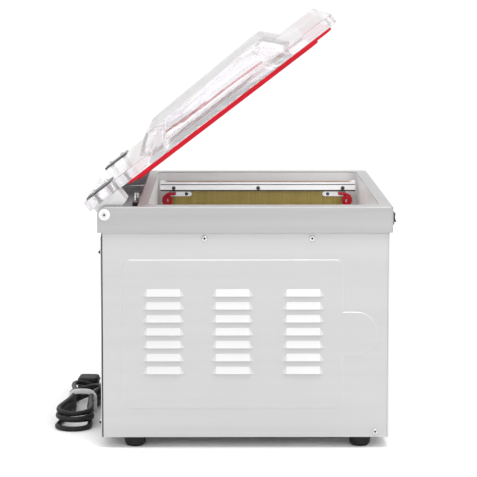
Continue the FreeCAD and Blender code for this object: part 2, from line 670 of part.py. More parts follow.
def make_hinge_shaft():
    shaft = rod("hinge_shaft_rod", "sizes.shaft_radius", "sizes.overall_width + 1",
                "-(sizes.overall_width + 1) / 2", "sizes.pivot_back",
                "sizes.pivot_height + sizes.datum_height", "x")
    node("hinge_shaft", shaft, lifted=False)
    caps = []
    screws = []
    for side in (-1, 1):
        cap = Part.makeCylinder(6.6, 1.9, Vector(side * (HALF + 0.02), PIVOT.y, PIVOT.z),
                                Vector(side, 0, 0))
        outer = [e for e in cap.Edges if min(abs(e.BoundBox.XMin), abs(e.BoundBox.XMax))
                 > HALF + 1.8]
        cap = cap.makeFillet(1.2, outer)
        seat = Part.makeCylinder(4.1, 0.7, Vector(side * HALF, PIVOT.y, PIVOT.z),
                                 Vector(side, 0, 0))
        hole = Part.makeCylinder(1.6, 10, Vector(side * (HALF - 1), PIVOT.y, PIVOT.z),
                                 Vector(side, 0, 0))
        caps.append(cap.cut([seat, hole]))
        head = Part.makeCylinder(3.1, 1.2, Vector(side * (HALF + 1.93), PIVOT.y, PIVOT.z),
                                 Vector(side, 0, 0))
        stem = Part.makeCylinder(1.5, 1.4, Vector(side * (HALF + 0.53), PIVOT.y, PIVOT.z),
                                 Vector(side, 0, 0))
        socket = Part.makeCylinder(1.1, 1.0, Vector(side * (HALF + 2.3), PIVOT.y, PIVOT.z),
                                   Vector(side, 0, 0))
        screws.append(head.fuse(stem).removeSplitter().cut(socket))
    node("hinge_caps", feature("hinge_caps_pair", Part.Compound(caps)))
    node("hinge_cap_screws", feature("hinge_cap_screws_pair", Part.Compound(screws)))


# ------------------------------------------------------------------ power rocker
ROCKER_X = -188.0
ROCKER_Z = 262.8
ROCKER_LENGTH = 19.0
ROCKER_HEIGHT = 11.0
ROCKER_DEPTH = 9.0
ROCKER_SWING = 12.0


def rocker_cutout():
    front = size("deck_front")
    return block(ROCKER_X - ROCKER_LENGTH / 2 - 1, ROCKER_X + ROCKER_LENGTH / 2 + 1,
                 front - 1, front + 6, ROCKER_Z - 6.2, ROCKER_Z + 6.2)


def make_power_rocker():
    front = size("deck_front")
    frame = block(ROCKER_X - ROCKER_LENGTH / 2 - 0.95, ROCKER_X + ROCKER_LENGTH / 2 + 0.95,
                  front - 0.1, front + 12.5, ROCKER_Z - 6.15, ROCKER_Z + 6.15)
    rim = block(ROCKER_X - ROCKER_LENGTH / 2 - 2.2, ROCKER_X + ROCKER_LENGTH / 2 + 2.2,
                front - 2.0, front - 0.02, ROCKER_Z - 7.2, ROCKER_Z + 7.2)
    rim = rim.makeFillet(0.5, [e for e in rim.Edges if e.BoundBox.YMax < front - 1.95])
    well = block(ROCKER_X - ROCKER_LENGTH / 2, ROCKER_X + ROCKER_LENGTH / 2,
                 front - 3, front + 11, ROCKER_Z - 5.5, ROCKER_Z + 5.5)
    shell = frame.fuse(rim).removeSplitter().cut(well)
    node("rocker_frame", feature("rocker_frame_shell", shell))
    half = ROCKER_LENGTH / 2 - AIR
    wave = [(-4.0, 5.0), (-3.1, 0.6), (-3.1, -0.6), (-4.0, -5.0), (0.6, -4.6), (4.6, -1.6),
            (4.6, 1.6), (0.6, 4.6)]
    points = [Vector(ROCKER_X - half, front + y, ROCKER_Z + z) for y, z in wave + wave[:1]]
    paddle = Part.Face(Part.makePolygon(points)).extrude(Vector(2 * half, 0, 0))
    paddle.rotate(Vector(ROCKER_X, front + 1.6, ROCKER_Z), Vector(1, 0, 0), -ROCKER_SWING / 2)
    node("power_rocker", feature("power_rocker_paddle", paddle))


# ------------------------------------------------------------------ seal bar
def make_seal_bar():
    """Aluminium bar with the heating ribbon, tape, clamps, insulating board and terminals."""
    inside = size("bar_inside")
    width = size("bar_width")
    top = size("bar_top")
    half = size("bar_length") / 2
    y0, y1 = BAR_MIDDLE_Y - half, BAR_MIDDLE_Y + half
    body = new_body("seal_bar")
    profile = rectangle(body, "bar_section", "sizes.bar_inside", str(top - 12.4),
                        "sizes.bar_width", "12.0", plane="XZ_Plane", offset=str(-y1))
    pad(body, profile, "bar_pad", "sizes.bar_length")
    for i, x in enumerate((inside, inside + width - 1.4)):
        groove = rectangle(body, "bar_groove_%d" % i, str(x), str(top - 4.2), "1.4", "1.1",
                           plane="XZ_Plane", offset=str(-y1))
        pocket(body, groove, "bar_groove_cut_%d" % i, "sizes.bar_length", backwards=True)
    for i, y in enumerate(BAR_SCREWS):
        hole = circle(body, "bar_screw_hole_%d" % i, str(y), str(top - 8.3), "1.6",
                      plane="YZ_Plane", offset="sizes.bar_inside")
        pocket(body, hole, "bar_screw_bore_%d" % i, "6", backwards=True)
    node("seal_bar", body)
    ribbon = block(BAR_MIDDLE_X - 4, BAR_MIDDLE_X + 4, y0 + 2, y1 - 2, top - 0.38, top - 0.16)
    node("heating_ribbon", feature("heating_ribbon_strip", ribbon))
    tape = block(BAR_MIDDLE_X - 6.6, BAR_MIDDLE_X + 6.6, y0 + 8, y1 - 8, top - 0.14, top)
    node("release_tape", feature("release_tape_strip", tape))
    clamps = []
    for y in (y0 + 0.2, y1 - 5.2):
        clamps.append(block(BAR_MIDDLE_X - 5, BAR_MIDDLE_X + 5, y, y + 5, top - 0.14, top + 0.9))
    node("ribbon_clamps", feature("ribbon_clamps_pair", Part.Compound(clamps)))
    board_x = inside + 3.0
    board = block(board_x, board_x + 3, -145.3, 89.4, CHAMBER_FLOOR + 4, top - 12.45)
    node("insulating_board", feature("insulating_board_plate", board))
    screws = []
    for y in BAR_SCREWS:
        copy = pan_screw(2.6, 1.2, 1.5, 5)
        copy.translate(Vector(inside, y, top - 8.3))
        screws.append(copy)
    tabs = []
    tab_screws = []
    for y in TAB_MIDDLES:
        tab = block(board_x - 1.0, board_x - 0.02, y - 16, y + 16, top - 19.4, top - 13.2)
        ends = [e for e in tab.Edges if along(Vector(1, 0, 0))(e)]
        tab = tab.makeFillet(3.0, ends)
        holes = []
        for dy in (-9, 9):
            spot = Vector(board_x - 3, y + dy, top - 16.3)
            holes.append(Part.makeCylinder(1.3, 4, spot, Vector(1, 0, 0)))
            copy = pan_screw(2.3, 1.1, 1.25, 0.9)
            copy.translate(Vector(board_x - 1.0, y + dy, top - 16.3))
            tab_screws.append(copy)
        tabs.append(tab.cut(holes))
    node("terminal_tabs", feature("terminal_tabs_pair", Part.Compound(tabs)))
    node("seal_bar_screws", feature("seal_bar_screws_group",
                                    Part.Compound(screws + tab_screws)))
    pistons = []
    sink = size("bar_travel") + 10
    for x, y in LIFTER_SPOTS:
        stem = Part.makeCylinder(3.0, top - 12.42 - CHAMBER_FLOOR + sink,
                                 Vector(x, y, CHAMBER_FLOOR - sink))
        foot = Part.makeCylinder(4.4, 3, Vector(x, y, top - 15.44))
        pistons.append(stem.fuse(foot).removeSplitter().cut(block(
            board_x - 0.05, board_x + 3.05, y - 20, y + 20, CHAMBER_FLOOR + 3.9, top)))
    node("lift_pistons", feature("lift_pistons_pair", Part.Compound(pistons)))


BAR_SCREWS = (84.0, -28.6, -141.3)
TAB_MIDDLES = (76.0, -130.5)


def wire_path(points):
    """Straight runs joined by tangent arcs; returns the wire and the arc radii."""
    edges = []
    radii = []
    start = points[0]
    for before, corner, after in zip(points, points[1:], points[2:]):
        into = (corner - before)
        out = (after - corner)
        run = min(into.Length, out.Length)
        into.normalize()
        out.normalize()
        turn = into.getAngle(out)
        reach = 0.45 * run
        radius = reach / math.tan(turn / 2)
        radii.append(radius)
        first = corner - into * reach
        last = corner + out * reach
        inward = out - into
        inward.normalize()
        middle = corner + inward * (radius / math.cos(turn / 2) - radius)
        edges.append(Part.LineSegment(start, first).toShape())
        edges.append(Part.Arc(first, middle, last).toShape())
        start = last
    edges.append(Part.LineSegment(start, points[-1]).toShape())
    return Part.Wire(edges), radii


def tube(points, radius):
    wire, radii = wire_path(points)
    first = points[1] - points[0]
    first.normalize()
    ring = Part.Wire([Part.makeCircle(radius, points[0], first)])
    solid = wire.makePipeShell([ring], True, False)
    return solid, wire.Length, radii


def make_seal_wires():
    """Two silicone covered leads that loop from the ends of the bar to the chamber floor."""
    wires = []
    x = size("bar_inside") - 3.5
    top = size("bar_top")
    for side, tab in ((1, TAB_MIDDLES[0]), (-1, TAB_MIDDLES[1])):
        y = tab + side * 12
        points = [Vector(x + 1.2, y, top - 16.3), Vector(x - 1, y + side * 6, top - 15),
                  Vector(x - 1, y + side * 11, top - 18.5), Vector(x, y + side * 12, top - 25),
                  Vector(x + 1, y + side * 8, top - 31),
                  Vector(x + 1, y + side * 6, CHAMBER_FLOOR + 0.45)]
        wires.append(tube(points, 1.4)[0])
    node("seal_wires", feature("seal_wires_pair", Part.Compound(wires)))


# ------------------------------------------------------------------ lid
DOME_REAR = LID_REAR - 74.0
DOME_FRONT = LID_REAR - 302.0
DOME_TILT = 2.0
DOME_HALF = 168.0
DOME_SLOPE = 21.0
DOME_CORNER = 34.0
PLATE_INSIDE = 155.0
PLATE_OUTSIDE = 203.0
PLATE_BEHIND = 7.0
PLATE_AHEAD = 29.0
BOLT_AHEAD = (1.7, 21.6)
BOLT_X = 179.0
BOLT_SHANK = 2.0


def rounded_wire(half, y0, y1, corner, z):
    """A rounded rectangle symmetrical about x = 0."""
    face = upright_rounded(block(-half, half, y0, y1, z, z + 1), corner)
    lowest = [f for f in face.Faces if f.BoundBox.ZMax < z + 1e-6]
    return lowest[0].OuterWire


def pillow(inset, bottom, top, round_edge):
    """The raised part of the lid, shrunk by inset: sloping sides and a top that rises forward."""
    rise = (top - bottom) / size("dome_height")
    lower = rounded_wire(DOME_HALF - inset, DOME_FRONT + inset, DOME_REAR - inset,
                         DOME_CORNER - inset, bottom)
    slope = DOME_SLOPE * rise
    upper = rounded_wire(DOME_HALF - inset - slope, DOME_FRONT + inset + slope,
                         DOME_REAR - inset - slope, DOME_CORNER - inset - slope / 4, top)
    middle = Vector(0, (DOME_FRONT + DOME_REAR) / 2, top)
    upper.rotate(middle, Vector(1, 0, 0), -DOME_TILT)
    solid = Part.makeLoft([lower, upper], True)
    rim = [e for e in solid.Edges if e.BoundBox.ZMin > bottom + 1]
    return solid.makeFillet(round_edge, rim)


def bolt_holes(radius, z0, z1):
    return [Part.makeCylinder(radius, z1 - z0, Vector(side * BOLT_X, PIVOT.y - ahead, z0))
            for side in (-1, 1) for ahead in BOLT_AHEAD]


def make_lid_panel():
    """Thick clear slab with a hollow rounded dome, cast in one piece."""
    top = LID_UNDER + size("slab_thickness")
    slab = upright_rounded(block(-HALF, HALF, LID_FRONT, LID_REAR, LID_UNDER, top), 6)
    edge = [e for e in slab.Edges if e.BoundBox.ZMin > top - 1e-3
            or e.BoundBox.ZMax < LID_UNDER + 1e-3]
    slab = slab.makeFillet(0.8, edge)
    dome = pillow(0, top - 2, top + size("dome_height"), 9)
    wall = size("dome_wall")
    cavity = pillow(wall, LID_UNDER - 2, top + size("dome_height") - wall, 7)
    shape = slab.fuse(dome).removeSplitter().cut([cavity] + bolt_holes(3.1, LID_UNDER - 1, top + 1))
    groove = block(PAD_X - 9.05, PAD_X + 9.05, PAD_Y0 - 0.05, PAD_Y1 + 0.05,
                   LID_UNDER - 1, LID_UNDER + 4)
    node("lid_panel", feature("lid_panel_casting", shape.cut(groove)), opened=True)


def make_lid_gasket():
    """Flat silicone ring that lies on the rim, with a lip that drops inside the chamber."""
    under = LID_UNDER - 0.02
    thick = size("gasket_thickness")
    lip = size("gasket_lip")
    inner = HALF - size("rim_side")
    y0, y1 = size("chamber_front"), size("chamber_rear")
    ring = upright_rounded(block(-208, 208, -180.5, 112.5, under - thick, under), 16)
    plug = upright_rounded(block(-inner + 2, inner - 2, y0 + 2, y1 - 2, under - thick - lip,
                                 under - thick + 1), 12)
    hole = upright_rounded(block(-inner + 9, inner - 9, y0 + 9, y1 - 9, under - 12, under + 1), 9)
    node("lid_gasket", feature("lid_gasket_ring", ring.fuse(plug).removeSplitter().cut(hole)),
         opened=True)


PAD_X = BAR_MIDDLE_X
PAD_Y0 = BAR_MIDDLE_Y - 122
PAD_Y1 = BAR_MIDDLE_Y + 122


def make_press_pad():
    """The strip that the bag is pressed against: a holder let into the lid, and its silicone."""
    holder = block(PAD_X - 9, PAD_X + 9, PAD_Y0, PAD_Y1, LID_UNDER - 1.5, LID_UNDER + 3.98)
    slot = block(PAD_X - 6, PAD_X + 6, PAD_Y0 - 1, PAD_Y1 + 1, LID_UNDER - 2, LID_UNDER + 1)
    node("pad_holder", feature("pad_holder_channel", holder.cut(slot)), opened=True)
    strip = block(PAD_X - 5.98, PAD_X + 5.98, PAD_Y0 + 1, PAD_Y1 - 1, LID_UNDER - 4.6,
                  LID_UNDER + 0.98)
    strip = strip.makeFillet(2.0, [e for e in strip.Edges if e.BoundBox.ZMax < LID_UNDER - 4.5
                                   and e.BoundBox.YLength > 100])
    node("press_pad", feature("press_pad_strip", strip), opened=True)


def make_hinge_plates():
    """Top plates, and the folded brackets below the lid that turn on the shaft."""
    top = LID_UNDER + size("slab_thickness")
    thin = size("plate_thickness")
    rear = PIVOT.y + PLATE_BEHIND
    front = PIVOT.y - PLATE_AHEAD
    plates = []
    brackets = []
    sleeves = []
    bolts = []
    for side in (-1, 1):
        x0, x1 = sorted((side * PLATE_INSIDE, side * PLATE_OUTSIDE))
        upper = upright_rounded(block(x0, x1, front, rear, top + 0.02, top + 0.02 + thin), 3)
        plates.append(upper)
        under = LID_UNDER - 0.02
        flat = block(x0, x1, front, rear, under - thin, under)
        fold = block(x0, x1, front, front + thin, under - 16, under - thin / 2)
        cheeks = []
        for cheek_x in (x0, x1 - 2.0):
            outline = [(rear - 1, under - 0.3), (front + 0.2, under - 0.3),
                       (front + 0.2, under - 15.8), (PIVOT.y - 9, PIVOT.z - 7.3),
                       (PIVOT.y - 4, PIVOT.z - 7.3), (PIVOT.y + 5.6, PIVOT.z - 4),
                       (PIVOT.y + 6.6, PIVOT.z + 3)]
            points = [Vector(cheek_x, y, z) for y, z in outline + outline[:1]]
            cheeks.append(Part.Face(Part.makePolygon(points)).extrude(Vector(2.0, 0, 0)))
        bore = Part.makeCylinder(size("shaft_radius") + RUN, 60, Vector(x0 - 5, PIVOT.y, PIVOT.z),
                                 Vector(1, 0, 0))
        brackets.append(flat.fuse([fold] + cheeks).removeSplitter().cut(bore))
    for side in (-1, 1):
        for ahead in BOLT_AHEAD:
            x, y = side * BOLT_X, PIVOT.y - ahead
            sleeve = Part.makeCylinder(3.05, size("slab_thickness") - 0.04,
                                       Vector(x, y, LID_UNDER + 0.02))
            sleeves.append(sleeve.cut(Part.makeCylinder(BOLT_SHANK + 0.02, 30,
                                                        Vector(x, y, LID_UNDER - 5))))
            shank = Part.makeCylinder(BOLT_SHANK, size("slab_thickness") + 2 * thin + 3,
                                      Vector(x, y, LID_UNDER - thin - 1.6))
            head = Part.makeCylinder(2.9, 3.3, Vector(x, y, top + thin + 0.04))
            head = head.makeFillet(0.4, [e for e in head.Edges
                                         if e.BoundBox.ZMin > top + thin + 3.2])
            socket = Part.makeCylinder(1.3, 2.2, Vector(x, y, top + thin + 1.4))
            nut = Part.makeCylinder(3.6, 1.6, Vector(x, y, LID_UNDER - thin - 1.66))
            bolts.append(shank.fuse([head, nut]).removeSplitter().cut(socket))
    holes = bolt_holes(BOLT_SHANK + 0.02, LID_UNDER - 5, top + 5)
    node("hinge_top_plates", feature("hinge_top_plates_pair",
                                     Part.Compound([p.cut(holes) for p in plates])), opened=True)
    node("hinge_brackets", feature("hinge_brackets_pair",
                                   Part.Compound([b.cut(holes) for b in brackets])), opened=True)
    node("hinge_sleeves", feature("hinge_sleeves_group", Part.Compound(sleeves)), opened=True)
    node("hinge_bolts", feature("hinge_bolts_group", Part.Compound(bolts)), opened=True)


SPRING_WIRE = 1.1
SPRING_RADIUS = 6.2
SPRING_PITCH = 2.6
SPRING_X = 163.0
SPRING_LEG = 34.0
SPRING_ARM = 20.0
SPRING_TURNS = 8 + (180 - size("open_angle") - 8) / 360


def make_lid_springs():
    """Torsion springs round the shaft inside the brackets: one arm on the trough, one on the lid."""
    helix = Part.makeHelix(SPRING_PITCH, SPRING_PITCH * SPRING_TURNS, SPRING_RADIUS)
    edge = helix.Edges[0]
    start = Vector(SPRING_RADIUS, 0, 0)
    rise = Vector(0, 2 * math.pi * SPRING_RADIUS, SPRING_PITCH)
    rise.normalize()
    turn = Rotation(Vector(0, 0, 1), 360 * SPRING_TURNS)
    end = turn.multVec(start) + Vector(0, 0, SPRING_PITCH * SPRING_TURNS)
    leg = Part.LineSegment(start - rise * SPRING_LEG, start).toShape()
    arm = Part.LineSegment(end, end + turn.multVec(rise) * SPRING_ARM).toShape()
    path = Part.Wire([leg, edge, arm])
    ring = Part.Wire([Part.makeCircle(SPRING_WIRE, start - rise * SPRING_LEG, rise)])
    spring = path.makePipeShell([ring], True, True)
    spring.rotate(Vector(), Vector(0, 1, 0), 90)
    spring.translate(Vector(SPRING_X, PIVOT.y, PIVOT.z))
    pair = Part.Compound([mirrored(spring), spring])
    node("lid_springs", feature("lid_springs_pair", pair))


# ------------------------------------------------------------------ pump, electrics and hoses
MOTOR_Y = 40.0
MOTOR_Z = 84.0
MOTOR_RADIUS = 52.0
MOTOR_X0 = -128.0
MOTOR_X1 = -8.0
ROTOR_RADIUS = 5.0


def x_disc(radius, x0, x1, y=MOTOR_Y, z=MOTOR_Z):
    return Part.makeCylinder(radius, x1 - x0, Vector(x0, y, z), Vector(1, 0, 0))


def make_pump():
    """Vacuum pump: finned motor housing, pump block, its oil case and the turning rotor."""
    bore = x_disc(ROTOR_RADIUS + RUN, MOTOR_X0 - 40, MOTOR_X1 + 60)
    shell = x_disc(MOTOR_RADIUS, MOTOR_X0, MOTOR_X1)
    fins = [x_disc(MOTOR_RADIUS + 5, x, x + 2.5) for x in range(int(MOTOR_X0) + 8,
                                                               int(MOTOR_X1) - 8, 10)]
    foot = block(MOTOR_X0 + 15, MOTOR_X1 - 15, MOTOR_Y - 45, MOTOR_Y + 45, FLOOR_PLATE + 0.02,
                 MOTOR_Z - MOTOR_RADIUS + 12)
    housing = shell.fuse(fins + [foot]).removeSplitter()
    node("pump_motor", feature("pump_motor_housing",
                               housing.cut(x_disc(ROTOR_RADIUS + RUN, MOTOR_X0 - 1,
                                                  MOTOR_X1 + 1))))
    case = block(MOTOR_X1 + 0.02, 84, MOTOR_Y - 44, MOTOR_Y + 48, FLOOR_PLATE + 0.02, 132)
    case = case.makeFillet(8, [e for e in case.Edges if along(Vector(1, 0, 0))(e)
                               and e.BoundBox.ZMin > 100])
    foot = block(MOTOR_X1 + 10, 96, MOTOR_Y - 56, MOTOR_Y + 60, FLOOR_PLATE + 0.02, 16)
    rotor_room = x_disc(20 + AIR, 18, 62)
    node("pump_block", feature("pump_block_casting",
                               case.fuse(foot).removeSplitter().cut(
                           [rotor_room, x_disc(ROTOR_RADIUS + RUN, MOTOR_X1 - 1, 19)])))
    shaft = x_disc(ROTOR_RADIUS, MOTOR_X0 - 26, 19)
    drum = x_disc(20, 19, 61)
    hub = x_disc(12, MOTOR_X0 - 24, MOTOR_X0 - 12)
    blades = []
    for i in range(7):
        blade = block(MOTOR_X0 - 23, MOTOR_X0 - 13, MOTOR_Y - 1.2, MOTOR_Y + 1.2, MOTOR_Z + 10,
                      MOTOR_Z + 44)
        blade.rotate(Vector(MOTOR_X0 - 18, MOTOR_Y, MOTOR_Z), Vector(0, 0, 1), 30)
        blade.rotate(Vector(0, MOTOR_Y, MOTOR_Z), Vector(1, 0, 0), i * 360 / 7)
        blades.append(blade)
    node("pump_rotor", feature("pump_rotor_and_fan",
                               shaft.fuse([drum, hub] + blades).removeSplitter()))


def make_electrics():
    core = block(112, 190, 44, 100, FLOOR_PLATE + 0.02, 84)
    window = block(124, 178, 30, 120, 28, 70)
    coil = block(124.1, 177.9, 30, 114, 28.1, 69.9)
    coil = coil.makeFillet(6, [e for e in coil.Edges if along(Vector(0, 1, 0))(e)])
    node("transformer", feature("transformer_core_and_coil",
                                Part.Compound([core.cut(window), coil])))
    valves = []
    for y in (-70.0, -28.0):
        stand = block(116, 144, y - 11, y + 11, FLOOR_PLATE + 0.02, 30)
        can = Part.makeCylinder(13, 36, Vector(130, y, 29))
        head = block(112, 148, y - 14, y + 14, 64, 86)
        tip = Part.makeCylinder(3.2, 9, Vector(130, y, 85))
        valves.append(stand.fuse([can, head, tip]).removeSplitter())
    node("solenoid_valves", feature("solenoid_valves_pair", Part.Compound(valves)))


def make_hoses():
    """Suction hose from the chamber port to the pump, and the thin hose of the lift cylinders."""
    start = Vector(PORT_X, PORT_Y, CHAMBER_FLOOR - 20.05)
    points = [start, start + Vector(0, 0, -28), Vector(-138, 84, 164), Vector(-104, 80, 151),
              Vector(-64, 70, 150), Vector(-24, 58, 162), Vector(10, 48, 170),
              Vector(32, 42, 164), Vector(38, MOTOR_Y, 148), Vector(38, MOTOR_Y, 132.05)]
    suction = tube(points, 6.5)[0]
    start = Vector(LIFTER_SPOTS[1][0], LIFTER_SPOTS[1][1], CHAMBER_FLOOR - 38.05)
    points = [start, start + Vector(0, 0, -18), Vector(160, 30, 152), Vector(148, 14, 136),
              Vector(138, -4, 122), Vector(131, -20, 112), Vector(130, -28, 104),
              Vector(130, -28, 94.05)]
    lifting = tube(points, 2.5)[0]
    node("vacuum_hoses", feature("vacuum_hoses_pair", Part.Compound([suction, lifting])))


# ------------------------------------------------------------------ lid switch
SWITCH_X = -120.0
SWITCH_Y = 121.22


def make_lid_switch():
    """Small sprung switch in the trough wall area; its button follows the lid down."""
    body = block(SWITCH_X - 14, SWITCH_X + 14, SWITCH_Y - 4.5, SWITCH_Y + 4.5,
                 BAND_BOTTOM + SHEET + 0.02, RIM - 4)
    bore = Part.makeCylinder(2.5 + RUN, 40, Vector(SWITCH_X, SWITCH_Y, RIM - 12))
    node("lid_switch", feature("lid_switch_body", body.cut(bore)))
    pin = Part.makeCylinder(2.5, 14.9, Vector(SWITCH_X, SWITCH_Y, RIM - 9))
    pin = pin.makeFillet(1.0, [e for e in pin.Edges if e.BoundBox.ZMin > RIM + 5.8])
    node("lid_switch_button", feature("lid_switch_pin", pin))


# ------------------------------------------------------------------ power cord
GLAND_ROUTE = [(120, 159.5, 52), (120, 168, 52), (120, 174, 46), (120, 174.5, 38)]
HANK = {"length": 200.0, "half": 23.0, "height": 32.0}
HANK_PLACE = Placement(Vector(-128, 201, 0), Rotation(Vector(0, 0, 1), -3.4))
LEAD_POINTS = [
    (120, 174.5, 42), (120, 175.3125, 29), (115.2, 176.1, 17.45), (106.5, 176.8, 8.75),
    (95.1, 177.6, 3.6),
]
LEAD_END = [(213.5, -10, 3.05), (200.02, -10, 3.05)]   # counted from the near end of the hank
TIE = {"x": 108.0, "half_length": 5.0, "side": 5.4, "gap": 1.58, "top": 29.6}
PLUG_TIP = Vector(219.04, 8.5, 0)


def make_cord():
    """Gland, the free stretch of cord, the tied hank, its tie and the moulded plug."""
    face_y = REAR_SHEET_Y + SHEET
    flange = Part.makeCylinder(9.5, 2.5, Vector(GLAND_X, face_y + 0.02, GLAND_Z), Vector(0, 1, 0))
    neck = Part.makeCylinder(7.0, 7.5, Vector(GLAND_X, face_y - 5, GLAND_Z), Vector(0, 1, 0))
    elbow = tube([Vector(*p) for p in GLAND_ROUTE], 4.2)[0]
    node("cord_gland", feature("cord_gland_boot", flange.fuse([neck, elbow]).removeSplitter()))
    radius = size("cord_radius")
    points = [Vector(*p) for p in LEAD_POINTS]
    points += [HANK_PLACE.multVec(Vector(*p)) for p in LEAD_END]
    solid, length, radii = tube(points, radius)
    drift = abs(solid.Volume - math.pi * radius ** 2 * length) / solid.Volume
    print("cord lead %.0f mm, volume off by %.4f" % (length, drift))
    print("cord radii", ["%.1f" % r for r in radii])
    node("cord_lead", feature("cord_lead_tube", solid), lifted=False)
    make_hank()
    make_plug()


def make_hank():
    """The outer shape of the folded cord, waisted where the tie holds it, and the tie."""
    half = HANK["half"]
    hank = upright_rounded(block(0, HANK["length"], -half, half, 0.0, HANK["height"]), 10)
    hank = hank.makeFillet(9, [e for e in hank.Edges if e.BoundBox.ZMin > HANK["height"] - 0.01])
    x0, x1 = TIE["x"] - TIE["half_length"], TIE["x"] + TIE["half_length"]
    side = half - TIE["side"]
    inner = side - TIE["gap"]
    top = TIE["top"] - TIE["gap"]
    waist = block(x0 - 0.02, x1 + 0.02, -50, 50, -1, 60).cut(
        block(x0 - 1, x1 + 1, -inner + 0.02, inner - 0.02, 0.0, top - 0.02))
    tie = block(x0, x1, -side, side, 0.0, TIE["top"]).cut(
        block(x0 - 1, x1 + 1, -inner, inner, -1.0, top))
    node("cord_hank", feature("cord_hank_bundle", hank.cut(waist), HANK_PLACE), lifted=False)
    node("cord_tie", feature("cord_tie_band", tie, HANK_PLACE), lifted=False)


def make_plug():
    """Two-pin moulded plug lying on the floor at the far end of the hank."""
    body = block(0, 32, -13, 13, 0.0, 20.0)
    body = upright_rounded(body, 5)
    body = body.makeFillet(3, [e for e in body.Edges if e.BoundBox.ZMin > 19.99])
    boot = Part.makeCone(4.2, 7.0, 20, Vector(-19, 0, 10), Vector(1, 0, 0))
    plug = body.fuse([boot]).removeSplitter()
    holes = [Part.makeCylinder(2.0, 9, Vector(24, y, 10), Vector(1, 0, 0)) for y in (-9.5, 9.5)]
    pins = [Part.makeCylinder(2.0, 26, Vector(24.02, y, 10), Vector(1, 0, 0))
            for y in (-9.5, 9.5)]
    plug = plug.cut(holes)
    for shape in [plug] + pins:
        shape.translate(PLUG_TIP)
    group = Part.Compound([plug] + pins)
    node("cord_plug", feature("cord_plug_body", group, HANK_PLACE), lifted=False)


# ------------------------------------------------------------------ build, check and write
def check():
    """Stop if any object failed or any sub-part is empty or invalid."""
    doc.recompute()
    for obj in doc.Objects:
        if "Invalid" in obj.State or "Error" in obj.State:
            raise RuntimeError("%s is %s" % (obj.Name, obj.State))
    for name, obj in nodes.items():
        shape = obj.Shape
        if shape.isNull() or not shape.isValid() or not shape.Solids:
            raise RuntimeError("sub-part %s has no valid solid" % name)


def write():
    os.makedirs("parts", exist_ok=True)
    for name, obj in nodes.items():
        obj.Shape.exportStep("parts/%s.step" % name)
    print("wrote %d sub-parts" % len(nodes))


MAKERS = (
    make_base_plate, make_feet, make_side_panels, make_panel_screws, make_front_panel,
    make_control_panel, make_vacuum_gauge, make_rear_panel, make_deck, make_chamber_tub,
    make_chamber_fittings, make_hinge_shaft, make_power_rocker, make_seal_bar,
    make_seal_wires, make_lid_panel, make_lid_gasket, make_press_pad, make_hinge_plates,
    make_lid_springs, make_pump, make_electrics, make_hoses, make_lid_switch, make_cord,
)
for make in MAKERS:
    make()
check()
write()
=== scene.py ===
import json
import math
import random

import bmesh
import bpy
from mathutils import Matrix, Vector


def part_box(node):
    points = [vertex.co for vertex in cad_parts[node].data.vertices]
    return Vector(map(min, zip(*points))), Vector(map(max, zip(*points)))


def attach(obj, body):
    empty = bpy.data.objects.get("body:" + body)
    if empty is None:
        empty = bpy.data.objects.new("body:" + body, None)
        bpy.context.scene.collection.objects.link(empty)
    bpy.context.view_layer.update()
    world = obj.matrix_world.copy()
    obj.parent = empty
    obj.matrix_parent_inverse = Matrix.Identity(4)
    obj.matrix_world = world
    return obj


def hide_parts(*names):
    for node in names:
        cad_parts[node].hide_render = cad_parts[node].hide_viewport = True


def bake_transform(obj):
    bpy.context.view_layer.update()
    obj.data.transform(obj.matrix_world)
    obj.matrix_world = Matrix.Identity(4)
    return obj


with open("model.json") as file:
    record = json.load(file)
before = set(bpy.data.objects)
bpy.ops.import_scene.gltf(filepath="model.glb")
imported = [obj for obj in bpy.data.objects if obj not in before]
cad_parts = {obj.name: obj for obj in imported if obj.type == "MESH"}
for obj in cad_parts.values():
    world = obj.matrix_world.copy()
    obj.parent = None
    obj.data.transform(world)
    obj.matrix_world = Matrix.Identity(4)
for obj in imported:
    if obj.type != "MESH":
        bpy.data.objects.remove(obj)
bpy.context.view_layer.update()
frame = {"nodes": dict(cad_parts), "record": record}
nodes = frame["nodes"]
scene = bpy.context.scene
random.seed(7)
MM = 0.001


# ---------------------------------------------------------------- camera
def make_camera():
    data = bpy.data.cameras.new("camera")
    data.sensor_width = 36
    data.lens = 146.5
    data.shift_x = 0.016
    data.shift_y = -0.15
    data.clip_start = 0.05
    data.clip_end = 50
    camera = bpy.data.objects.new("camera", data)
    camera.location = (-2.4156, 0.0203, 0.5405)
    camera.rotation_euler = (math.radians(90 - 5.519), 0, math.radians(-90.279))
    scene.collection.objects.link(camera)
    scene.camera = camera


make_camera()


